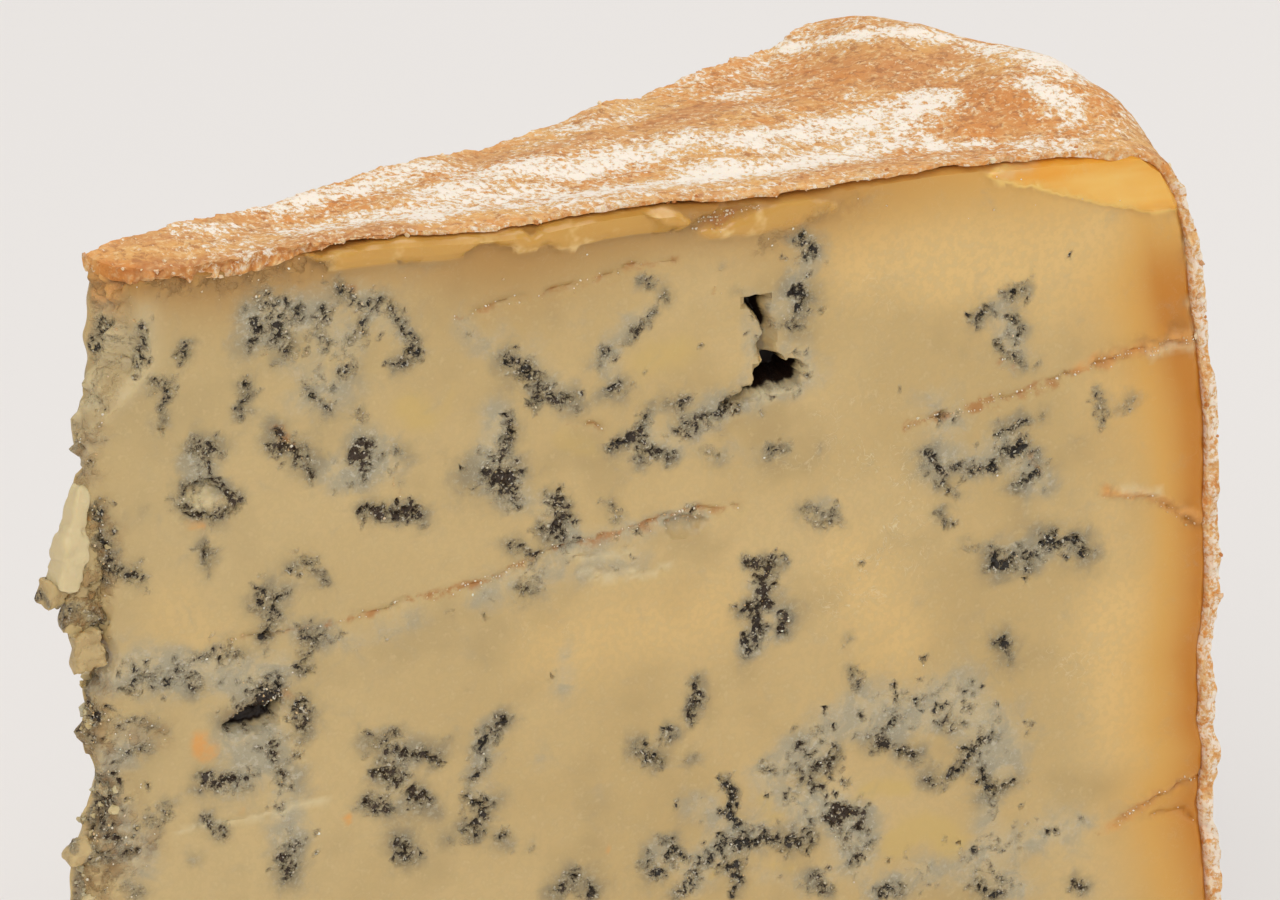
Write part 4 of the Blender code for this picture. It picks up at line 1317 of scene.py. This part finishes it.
def addCrumb(draw, subdivisions):
    bpy.ops.mesh.primitive_ico_sphere_add(subdivisions=subdivisions, radius=1, location=(0, 0, 0))
    crumb = bpy.context.object
    stretch = draw.uniform(0.7, 1.25, 3)
    points = pointsOf(crumb)
    start = Vector(draw.uniform(0, 90, 3))
    swell = np.array([1 + 0.9 * noise.noise(Vector(p) * 1.5 + start) for p in points])
    putPoints(crumb, points * swell[:, None] * stretch)
    return crumb


def scatter(spots, sizes, draw, subdivisions, name):
    # A few crumb shapes are modelled, and turned copies of them are set on the spots, all in one mesh
    shapes = []
    for _ in range(crumbs["shapes"]):
        clearSelection()
        crumb = addCrumb(draw, subdivisions)
        shapes.append((pointsOf(crumb), [tuple(face.vertices) for face in crumb.data.polygons]))
        bpy.data.objects.remove(crumb, do_unlink=True)
    points, faces, start = [], [], 0
    for spot, size in zip(spots, sizes):
        shape, sides = shapes[draw.integers(len(shapes))]
        axis = Vector(draw.normal(size=3)).normalized()
        turned = shape @ np.array(Matrix.Rotation(draw.uniform(0, 2 * math.pi), 3, axis)).T
        points.append(turned * size + spot)
        faces += [tuple(i + start for i in side) for side in sides]
        start += len(shape)
    mesh = bpy.data.meshes.new(name)
    placed = np.concatenate(points)
    placed[:, 2] = np.maximum(placed[:, 2], 0)
    mesh.from_pydata(placed.tolist(), [], faces)
    made = bpy.data.objects.new(name, mesh)
    bpy.context.scene.collection.objects.link(made)
    return made


def makeCrumbs(shell, material):
    # Crumbs of rind lie where the crust was cut and broken: its front and rear edges and the tip
    draw = np.random.default_rng(crumbs["seed"])
    points = pointsOf(shell) - np.array(drum["axisPlace"])
    normals = np.empty(len(points) * 3)
    shell.data.vertices.foreach_get("normal", normals)
    normals = normals.reshape(-1, 3)
    top = points[:, 2] > drum["height"] - 3.2 * mm
    nearCut = (points[:, 1] < 0.9 * mm) | (beforeRear(points) < 1.2 * mm) | (points[:, 0] < 16 * mm)
    rimSide = (points[:, 2] < drum["height"] - 3 * mm) & (points[:, 1] < 0.8 * mm)
    chance = np.where(top & nearCut, 1.0, 0) + np.where(rimSide, 0.55, 0)
    chance *= 0.4 + np.clip(wave(points, 5 * mm, 51.0) * 2.2, 0, 2)
    picked = draw.choice(len(points), crumbs["count"], replace=False, p=chance / chance.sum())
    sizes = crumbs["small"] + (crumbs["large"] - crumbs["small"]) * draw.random(crumbs["count"]) ** 4
    spots = points[picked] - normals[picked] * (sizes * 0.15)[:, None]
    made = scatter(spots, sizes, draw, 1, "rindCrumbs")
    tone = np.repeat(draw.random(crumbs["count"]), len(made.data.vertices) // crumbs["count"])
    paintAttribute(made, "tone", tone)
    finishPiece(made, material)


grains = {"seed": 5, "count": 850, "small": 0.05 * mm, "large": 0.13 * mm}


def makeGrains(body, material):
    # White grains and crystals sit along the seams and the crust's lower edge
    draw = np.random.default_rng(grains["seed"])
    points = pointsOf(body) - np.array(drum["axisPlace"])
    values = {}
    for name in ("groove", "rustAndShade", "flap", "mould", "crumb"):
        values[name] = np.empty(len(points), np.float32)
        body.data.attributes[name].data.foreach_get("value", values[name])
    front = points[:, 1] < 1.2 * mm
    chance = front * (np.clip(values["rustAndShade"], 0, 1) ** 2 + 0.03 * values["mould"] + 0.08 * values["crumb"])
    chance += front * 0.02 * (points[:, 2] > drum["height"] - 4 * mm) * (values["flap"] < 0.3)
    count = grains["count"]
    picked = draw.choice(len(points), count, replace=False, p=chance / chance.sum())
    sizes = grains["small"] + (grains["large"] - grains["small"]) * draw.random(count) ** 2
    made = scatter(points[picked] + np.outer(sizes * 0.3, frontOut), sizes, draw, 1, "whiteGrains")
    paintAttribute(made, "tone", np.repeat(draw.random(count), len(made.data.vertices) // count))
    finishPiece(made, material)


# node helpers

def tone(red, green, blue):  # an everyday 0-255 colour as the linear one that shaders take
    shares = (red / 255, green / 255, blue / 255)
    linear = [c / 12.92 if c <= 0.04045 else ((c + 0.055) / 1.055) ** 2.4 for c in shares]
    return (*linear, 1)


def setInputs(tree, node, inputs):
    for key, value in inputs.items():
        if isinstance(value, bpy.types.NodeSocket):
            tree.links.new(value, node.inputs[key])
        else:
            node.inputs[key].default_value = value


nodeGrid = {"spacing": 190, "perRow": 12}


def addNode(tree, kind, inputs=None, **settings):
    row, column = divmod(len(tree.nodes), nodeGrid["perRow"])
    made = tree.nodes.new(kind)
    made.location = (column * nodeGrid["spacing"], -row * nodeGrid["spacing"])
    for key, value in settings.items():
        setattr(made, key, value)
    setInputs(tree, made, inputs or {})
    return made


def mixColour(tree, factor, first, second):
    made = addNode(tree, "ShaderNodeMix", {0: factor, 6: first, 7: second}, data_type="RGBA")
    return made.outputs[2]


def calculate(tree, operation, first, second=0.0, clamp=False):
    made = addNode(tree, "ShaderNodeMath", {0: first, 1: second}, operation=operation, use_clamp=clamp)
    return made.outputs[0]


def times(tree, first, second, clamp=False):
    return calculate(tree, "MULTIPLY", first, second, clamp)


def plus(tree, first, second):
    return calculate(tree, "ADD", first, second)


def minus(tree, first, second):
    return calculate(tree, "SUBTRACT", first, second)


def larger(tree, first, second):
    return calculate(tree, "MAXIMUM", first, second)


def absolute(tree, value):
    return calculate(tree, "ABSOLUTE", value)


def weighted(tree, *parts):  # the sum of values, each given with its weight
    total = times(tree, *parts[0])
    for value, weight in parts[1:]:
        total = plus(tree, total, times(tree, value, weight))
    return total


def mapped(tree, vector, scale, turn=(0, 0, 0)):  # the vector turned, in degrees, and stretched
    turned = tuple(math.radians(degrees) for degrees in turn)
    made = addNode(tree, "ShaderNodeMapping", {"Vector": vector, "Rotation": turned, "Scale": scale})
    return made.outputs[0]


def bumpFrom(tree, shader, height, strength, distance):
    made = addNode(tree, "ShaderNodeBump", {"Height": height, "Strength": strength, "Distance": distance})
    tree.links.new(made.outputs[0], shader.inputs["Normal"])


def remap(tree, value, low, high, toLow=0.0, toHigh=1.0):
    made = addNode(tree, "ShaderNodeMapRange",
                   {"Value": value, "From Min": low, "From Max": high, "To Min": toLow, "To Max": toHigh},
                   interpolation_type="SMOOTHSTEP")
    return made.outputs[0]


def noiseAt(tree, vector, scale, detail, roughness, distortion=0.0):
    made = addNode(tree, "ShaderNodeTexNoise",
                   {"Vector": vector, "Scale": scale, "Detail": detail, "Roughness": roughness,
                    "Distortion": distortion})
    return made.outputs["Fac"]


def painted(tree, name):
    return addNode(tree, "ShaderNodeAttribute", attribute_name=name).outputs["Fac"]


def newGroup(name, inputs, outputs):  # its first input is always the position
    group = bpy.data.node_groups.new(name, "ShaderNodeTree")
    group.interface.new_socket(name="Position", in_out="INPUT", socket_type="NodeSocketVector")
    for label, default in inputs.items():
        made = group.interface.new_socket(name=label, in_out="INPUT", socket_type="NodeSocketFloat")
        made.default_value = default
    for label in outputs:
        group.interface.new_socket(name=label, in_out="OUTPUT", socket_type="NodeSocketFloat")
    return group, addNode(group, "NodeGroupInput"), addNode(group, "NodeGroupOutput")


def placeGroup(tree, group, inputs):
    made = addNode(tree, "ShaderNodeGroup", node_tree=group)
    setInputs(tree, made, inputs)
    return made


# effects that several finishes share

def fineGrainGroup():
    # Small unevenness of a cheese surface: two sizes of grain, as a height and as a faint mottling
    group, start, end = newGroup("fineGrain", {"Grain Size": 1400.0, "Patch Size": 160.0},
                                 ("Height", "Mottle", "Fine"))
    small = noiseAt(group, start.outputs["Position"], start.outputs["Grain Size"], 4, 0.6)
    large = noiseAt(group, start.outputs["Position"], start.outputs["Patch Size"], 3, 0.5)
    group.links.new(weighted(group, (small, 0.4), (large, 0.6)), end.inputs["Height"])
    group.links.new(large, end.inputs["Mottle"])
    group.links.new(small, end.inputs["Fine"])
    return group


def mouldGroup():
    # Blue-green mould: ragged dark crevices with brown rims, grey crumbly bloom and pale glints
    group, start, end = newGroup("mouldSpeckle", {"Vein": 0.0, "Pit": 0.0, "Speck Size": 1500.0},
                                 ("Speck", "Rim", "Bloom", "Shade", "Glint", "Height"))
    place, vein = start.outputs["Position"], start.outputs["Vein"]
    blotch = noiseAt(group, place, start.outputs["Speck Size"], 3, 0.68, 0.5)
    fine = noiseAt(group, place, 2700.0, 3, 0.6, 0.3)
    wander = noiseAt(group, place, 1150.0, 3, 0.62, 1.1)
    offMiddle = minus(group, blotch, 0.5)
    # where the mesh is pitted the specks spread a little: partly mould, partly painted shade in the pits
    level = weighted(group, (vein, 0.55), (offMiddle, 1.3), (start.outputs["Pit"], 0.07))
    uneven = times(group, offMiddle, remap(group, vein, 0.02, 0.3, 0, 1.3))
    inVein = remap(group, plus(group, vein, uneven), 0.08, 0.62)
    offRidge = absolute(group, minus(group, wander, 0.5))
    crack = remap(group, offRidge, 0.004, 0.024, 1.0, 0.0)
    crack = times(group, crack, remap(group, vein, 0.35, 0.75))
    speck = times(group, larger(group, remap(group, level, 0.42, 0.465), crack), inVein)
    rim = times(group, remap(group, level, 0.28, 0.43), inVein)
    glintNoise = noiseAt(group, place, 3100.0, 1, 0.5)
    glint = times(group, remap(group, glintNoise, 0.64, 0.70), inVein)
    height = minus(group, times(group, fine, 0.9), speck)
    group.links.new(speck, end.inputs["Speck"])
    group.links.new(rim, end.inputs["Rim"])
    group.links.new(inVein, end.inputs["Bloom"])
    group.links.new(remap(group, fine, 0.38, 0.60), end.inputs["Shade"])
    group.links.new(glint, end.inputs["Glint"])
    group.links.new(times(group, height, inVein), end.inputs["Height"])
    return group


def powderGroup():
    # White powdery bloom: a fine speckle whose share grows with the cover, in faint streaks along the rind
    group, start, end = newGroup("powderBloom", {"Cover": 0.5, "Fleck Size": 850.0},
                                 ("White", "Dusted", "Height"))
    place = start.outputs["Position"]
    turned = mapped(group, place, (0.7, 1.0, 1.0), (0, 0, -14))
    rounder = mapped(group, place, (1.15, 0.75, 1.0))
    streak = noiseAt(group, turned, 260.0, 4, 0.6, 0.3)
    fleck = noiseAt(group, rounder, start.outputs["Fleck Size"], 4, 0.74, 0.4)
    dust = noiseAt(group, place, 2600.0, 2, 0.6)
    level = weighted(group, (streak, 0.30), (fleck, 0.63), (dust, 0.20), (start.outputs["Cover"], 0.125))
    group.links.new(remap(group, level, 0.60, 0.665), end.inputs["White"])
    group.links.new(remap(group, level, 0.55, 0.61), end.inputs["Dusted"])
    group.links.new(dust, end.inputs["Height"])
    return group


# finishes

pasteFinish = {
    "plain": tone(196, 167, 111),
    "warm": tone(209, 180, 124),
    "cool": tone(172, 147, 99),
    "leftCool": tone(196, 173, 124),
    "light": tone(226, 190, 124),
    "curd": tone(226, 202, 148),
    # amber paste under the crust, darker on the left partly as painted shade beneath the crust's edge
    "underLeft": tone(172, 126, 58),
    "underRight": tone(218, 168, 84),
    "amber": tone(194, 122, 24),
    "yellow": tone(204, 174, 104),
    "hazy": tone(148, 132, 96),
    "greyBlue": tone(138, 126, 98),
    "milky": tone(194, 178, 142),
    "milkyBlue": tone(168, 160, 136),
    "fleck": tone(214, 206, 184),
    "ivory": tone(205, 156, 74),
    "ivoryPale": tone(240, 206, 140),
    "wax": tone(238, 160, 34),
    # paler wax in streaks, and the painted highlight along the wax's edge
    "waxStreakAndEdgeHighlight": tone(244, 202, 110),
    # brown of stains, also painted as shade in the gap behind the flake and in the tip's creases
    "rustAndShade": tone(176, 118, 56),
    "orange": tone(220, 158, 84),
    "mouldGrey": tone(98, 86, 62),
    "mouldPale": tone(186, 172, 138),
    "mouldDark": tone(22, 15, 7),
    "mouldBrown": tone(54, 34, 14),
    "mouldRim": tone(96, 76, 50),
    # painted shade deep in the openings
    "holeShade": tone(34, 20, 10),
    "glint": tone(226, 216, 192),
    "crumbBrown": tone(158, 122, 74),
    # painted shade in the crevices between crumbs
    "creviceShade": tone(132, 98, 54),
    "thread": tone(228, 212, 168),
    "roughness": 0.46,
    "subsurface": 0.22,
    "subsurfaceTint": (1.0, 0.62, 0.30),
    "subsurfaceReach": 1.6 * mm,
}


def pasteMaterial(groups):
    look = pasteFinish
    material, tree, shader = newMaterial("blueVeinedPaste")
    at = addNode(tree, "ShaderNodeTexCoord").outputs["Object"]
    grain = placeGroup(tree, groups["grain"], {"Position": at, "Grain Size": 1700.0, "Patch Size": 130.0})
    broad = noiseAt(tree, at, 45.0, 3, 0.5, 0.6)
    colour = mixColour(tree, remap(tree, broad, 0.35, 0.68), look["plain"], look["warm"])
    colour = mixColour(tree, remap(tree, grain.outputs["Mottle"], 0.48, 0.70, 0, 0.6), colour, look["cool"])
    place = addNode(tree, "ShaderNodeSeparateXYZ", {0: at})
    colour = mixColour(tree, remap(tree, place.outputs["X"], -0.050, 0.012, 0.55, 0.0), colour,
                       look["leftCool"])
    colour = mixColour(tree, remap(tree, painted(tree, "light"), 0.05, 0.95, 0, 0.9), colour, look["light"])
    colour = mixColour(tree, remap(tree, grain.outputs["Fine"], 0.40, 0.66, 0, 0.28), colour, look["cool"])
    colour = mixColour(tree, remap(tree, grain.outputs["Fine"], 0.50, 0.72, 0, 0.28), colour, look["curd"])
    # towards the rind the paste turns amber, on the left darker: partly amber, partly painted shade under
    # the crust
    amber = painted(tree, "amber")
    under = mixColour(tree, remap(tree, place.outputs["X"], 0.004, 0.034), look["underLeft"],
                      look["underRight"])
    colour = mixColour(tree, remap(tree, amber, 0.03, 0.5, 0, 0.95), colour, under)
    colour = mixColour(tree, remap(tree, amber, 0.25, 1.15), colour, look["amber"])
    colour = mixColour(tree, remap(tree, painted(tree, "yellow"), 0.2, 0.8, 0, 0.7), colour, look["yellow"])
    # hazy and milky zones with pale flecks
    haze, milk = painted(tree, "haze"), painted(tree, "milk")
    hazeNoise = noiseAt(tree, at, 420.0, 4, 0.62, 0.5)
    spread = times(tree, hazeNoise, 0.8)
    hazeMask = remap(tree, plus(tree, haze, spread), 0.44, 1.2, 0, 0.85)
    bluer = remap(tree, hazeNoise, 0.40, 0.58)
    colour = mixColour(tree, hazeMask, colour, mixColour(tree, bluer, look["hazy"], look["greyBlue"]))
    milkMask = remap(tree, plus(tree, milk, spread), 0.42, 1.12, 0, 0.8)
    colour = mixColour(tree, milkMask, colour, mixColour(tree, bluer, look["milky"], look["milkyBlue"]))
    fleckNoise = noiseAt(tree, at, 2100.0, 3, 0.65, 0.3)
    fleckShare = weighted(tree, (hazeMask, 0.35), (milkMask, 0.28))
    fleck = times(tree, remap(tree, fleckNoise, 0.52, 0.66), fleckShare, True)
    colour = mixColour(tree, fleck, colour, look["fleck"])
    # the lip and the waxy wedge under the crust
    flap = remap(tree, painted(tree, "flap"), 0.2, 0.6, 0, 0.95)
    lip = mixColour(tree, remap(tree, noiseAt(tree, at, 380.0, 3, 0.6), 0.50, 0.72, 0, 0.8), look["ivory"],
                    look["ivoryPale"])
    colour = mixColour(tree, flap, colour, lip)
    wax = painted(tree, "wax")
    pulled = mapped(tree, at, (0.3, 1.0, 1.5), (0, -8, 0))
    waxStreak = noiseAt(tree, pulled, 190.0, 3, 0.55, 0.4)
    waxDepth = plus(tree, wax, times(tree, waxStreak, 1.6))
    # the wax is paler in streaks, and a painted highlight line runs along its edge
    waxColour = mixColour(tree, remap(tree, waxDepth, 1.3, 2.1), look["waxStreakAndEdgeHighlight"], look["wax"])
    colour = mixColour(tree, remap(tree, wax, 0.1, 0.6, 0, 0.9), colour, waxColour)
    # brown and orange stains, the brown also painted as shade in a gap and creases, crumbs, and the fine
    # pale lines
    rustNoise = noiseAt(tree, at, 700.0, 4, 0.6)
    rustAndShade = times(tree, painted(tree, "rustAndShade"), remap(tree, rustNoise, 0.3, 0.62))
    colour = mixColour(tree, remap(tree, rustAndShade, 0.15, 0.75, 0, 0.85), colour, look["rustAndShade"])
    colour = mixColour(tree, times(tree, remap(tree, painted(tree, "orange"), 0.2, 0.8),
                       remap(tree, rustNoise, 0.34, 0.6, 0.35, 0.9)), colour, look["orange"])
    crumb = painted(tree, "crumb")
    crumbNoise = noiseAt(tree, at, 900.0, 4, 0.6)
    crumbMask = times(tree, crumb, remap(tree, crumbNoise, 0.46, 0.62))
    colour = mixColour(tree, times(tree, crumbMask, 0.7), colour, look["crumbBrown"])
    # painted shade in the crevices between crumbs
    colour = mixColour(tree, times(tree, painted(tree, "creviceShade"), 0.6), colour, look["creviceShade"])
    wander = noiseAt(tree, at, 800.0, 3, 0.55, 0.7)
    broken = remap(tree, noiseAt(tree, at, 420.0, 3, 0.6), 0.46, 0.56)
    ridge = remap(tree, absolute(tree, minus(tree, wander, 0.5)), 0.0, 0.02, 1.0, 0.0)
    line = times(tree, ridge, broken)
    crackle = times(tree, line, plus(tree, painted(tree, "crackle"), 0.08))
    paleLine = larger(tree, times(tree, crackle, 1.0, True), painted(tree, "pale"))
    colour = mixColour(tree, times(tree, paleLine, 0.7), colour, look["thread"])
    # mould, from its grey bloom to the dark crevices
    veinMask = painted(tree, "mould")
    mould = placeGroup(tree, groups["mould"],
                       {"Position": at, "Vein": veinMask, "Pit": painted(tree, "pit"),
                                                      "Speck Size": 2200.0})
    grey = mixColour(tree, mould.outputs["Shade"], look["mouldGrey"], look["mouldPale"])
    colour = mixColour(tree, times(tree, mould.outputs["Bloom"], 0.52), colour, grey)
    colour = mixColour(tree, times(tree, mould.outputs["Rim"], 0.6), colour, look["mouldRim"])
    darkest = mixColour(tree, remap(tree, broad, 0.4, 0.6), look["mouldDark"], look["mouldBrown"])
    colour = mixColour(tree, times(tree, mould.outputs["Speck"], 0.95), colour, darkest)
    colour = mixColour(tree, times(tree, mould.outputs["Glint"], 0.75), colour, look["glint"])
    # painted shade deep in the openings
    colour = mixColour(tree, remap(tree, painted(tree, "dark"), 0.08, 0.45), colour, look["holeShade"])
    tree.links.new(colour, shader.inputs["Base Color"])
    rough = remap(tree, larger(tree, wax, flap), 0.2, 0.8, look["roughness"], 0.26)
    rough = plus(tree, rough, times(tree, crumbMask, 0.25))
    tree.links.new(rough, shader.inputs["Roughness"])
    dragged = mapped(tree, at, (1.0, 1.0, 0.05), (0, 14, 0))
    drag = noiseAt(tree, dragged, 520.0, 3, 0.5)
    height = times(tree, grain.outputs["Height"], 0.10)
    height = plus(tree, height, times(tree, drag, 0.03))
    height = plus(tree, height, times(tree, crackle, 0.06))
    height = plus(tree, height, times(tree, mould.outputs["Height"], 0.55))
    rubbed = times(tree, fleckNoise, larger(tree, hazeMask, milkMask))
    height = plus(tree, height, times(tree, rubbed, 0.4))
    height = plus(tree, height, times(tree, crumbMask, 0.5))
    bumpFrom(tree, shader, height, 1.0, 0.45 * mm)
    shader.inputs["Subsurface Weight"].default_value = look["subsurface"]
    shader.inputs["Subsurface Radius"].default_value = look["subsurfaceTint"]
    shader.inputs["Subsurface Scale"].default_value = look["subsurfaceReach"]
    return material


rindFinish = {
    "tan": tone(222, 166, 94),
    "pink": tone(206, 144, 82),
    "orange": tone(214, 138, 60),
    "brown": tone(158, 98, 50),
    "bare": tone(202, 132, 68),
    "edge": tone(240, 206, 150),
    "edgeDark": tone(228, 154, 74),
    # painted shade in the crust's crevices, also the colour of dark grains
    "creviceShade": tone(176, 104, 40),
    "white": tone(248, 238, 224),
    "dusted": tone(234, 198, 146),
    "roughness": 0.72,
    "subsurface": 0.12,
    "subsurfaceTint": (1.0, 0.55, 0.3),
    "subsurfaceReach": 1.0 * mm,
}


def rindMaterial(groups):
    look = rindFinish
    material, tree, shader = newMaterial("bloomyRind")
    at = addNode(tree, "ShaderNodeTexCoord").outputs["Object"]
    grain = placeGroup(tree, groups["grain"], {"Position": at, "Grain Size": 1500.0, "Patch Size": 210.0})
    stretched = mapped(tree, at, (0.75, 1.15, 1.0), (0, 0, -14))
    patches = noiseAt(tree, stretched, 150.0, 5, 0.66, 0.5)
    colour = mixColour(tree, remap(tree, patches, 0.38, 0.62), look["tan"], look["pink"])
    spots = noiseAt(tree, at, 60.0, 4, 0.66, 0.8)
    colour = mixColour(tree, remap(tree, spots, 0.46, 0.60, 0, 0.95), colour, look["orange"])
    colour = mixColour(tree, times(tree, painted(tree, "bare"), 0.6, True), colour, look["bare"])
    specks = noiseAt(tree, at, 1000.0, 4, 0.7, 0.4)
    colour = mixColour(tree, remap(tree, specks, 0.50, 0.62, 0, 0.65), colour, look["brown"])
    colour = mixColour(tree, remap(tree, grain.outputs["Fine"], 0.54, 0.66, 0, 0.55), colour, look["edge"])
    # the crevice-shade colour also darkens random grains of the crust
    colour = mixColour(tree, remap(tree, grain.outputs["Fine"], 0.34, 0.44, 0.5, 0.0), colour, look["creviceShade"])
    # the crumbly cut edge, then the powder over all
    edge = painted(tree, "cutEdge")
    crumbly = mixColour(tree, remap(tree, noiseAt(tree, at, 1300.0, 3, 0.7), 0.40, 0.60), look["edgeDark"],
                        look["edge"])
    colour = mixColour(tree, times(tree, edge, 0.9), colour, crumbly)
    # painted shade in the crevices between the crust's lumps
    colour = mixColour(tree, times(tree, painted(tree, "creviceShade"), 0.8), colour, look["creviceShade"])
    cover = times(tree, painted(tree, "bloom"), painted(tree, "isTop"))
    sideCover = remap(tree, painted(tree, "isTop"), 0.0, 1.0, 0.45, 0.0)
    total = plus(tree, cover, sideCover)
    powder = placeGroup(tree, groups["powder"], {"Position": at, "Cover": total, "Fleck Size": 1600.0})
    notEdge = minus(tree, 1.0, times(tree, edge, 0.5))
    white = times(tree, powder.outputs["White"], notEdge)
    dusted = times(tree, powder.outputs["Dusted"], notEdge)
    colour = mixColour(tree, times(tree, dusted, 0.7), colour, look["dusted"])
    colour = mixColour(tree, times(tree, white, 0.92), colour, look["white"])
    tree.links.new(colour, shader.inputs["Base Color"])
    shader.inputs["Roughness"].default_value = look["roughness"]
    height = weighted(tree, (grain.outputs["Height"], 0.9), (powder.outputs["Height"], 0.3), (white, 0.12))
    bumpFrom(tree, shader, height, 0.7, 0.4 * mm)
    shader.inputs["Subsurface Weight"].default_value = look["subsurface"]
    shader.inputs["Subsurface Radius"].default_value = look["subsurfaceTint"]
    shader.inputs["Subsurface Scale"].default_value = look["subsurfaceReach"]
    return material


def crumbMaterial(groups, name, dark, light, roughness):
    material, tree, shader = newMaterial(name)
    at = addNode(tree, "ShaderNodeTexCoord").outputs["Object"]
    grain = placeGroup(tree, groups["grain"], {"Position": at, "Grain Size": 2200.0, "Patch Size": 500.0})
    blend = plus(tree, painted(tree, "tone"), minus(tree, grain.outputs["Mottle"], 0.5))
    tree.links.new(mixColour(tree, remap(tree, blend, 0.2, 0.9), dark, light), shader.inputs["Base Color"])
    shader.inputs["Roughness"].default_value = roughness
    bumpFrom(tree, shader, grain.outputs["Height"], 0.7, 0.2 * mm)
    shader.inputs["Subsurface Weight"].default_value = 0.15
    shader.inputs["Subsurface Scale"].default_value = 0.8 * mm
    return material


# the scene

print("camera, light and floor")
addCamera()
addLights()
addFloor()
bpy.context.scene.view_settings.view_transform = "Standard"

print("finishes")
groups = {"grain": fineGrainGroup(), "mould": mouldGroup(), "powder": powderGroup()}
pasteLook = pasteMaterial(groups)
rindLook = rindMaterial(groups)
crumbLook = crumbMaterial(groups, "rindCrumb", tone(196, 128, 66), tone(240, 214, 176), 0.7)
grainLook = crumbMaterial(groups, "whiteGrain", tone(214, 180, 130), tone(246, 236, 216), 0.35)

print("veins and seams of the front cut")
maps = drawFaceMaps()

print("paste")
body = makePaste(maps, pasteLook)

print("rind")
shell = makeRind(rindLook)

print("flakes, crumbs and grains")
makeFlakes(pasteLook)
makeLumps(body, pasteLook)
makeCrumbs(shell, crumbLook)
makeGrains(body, grainLook)
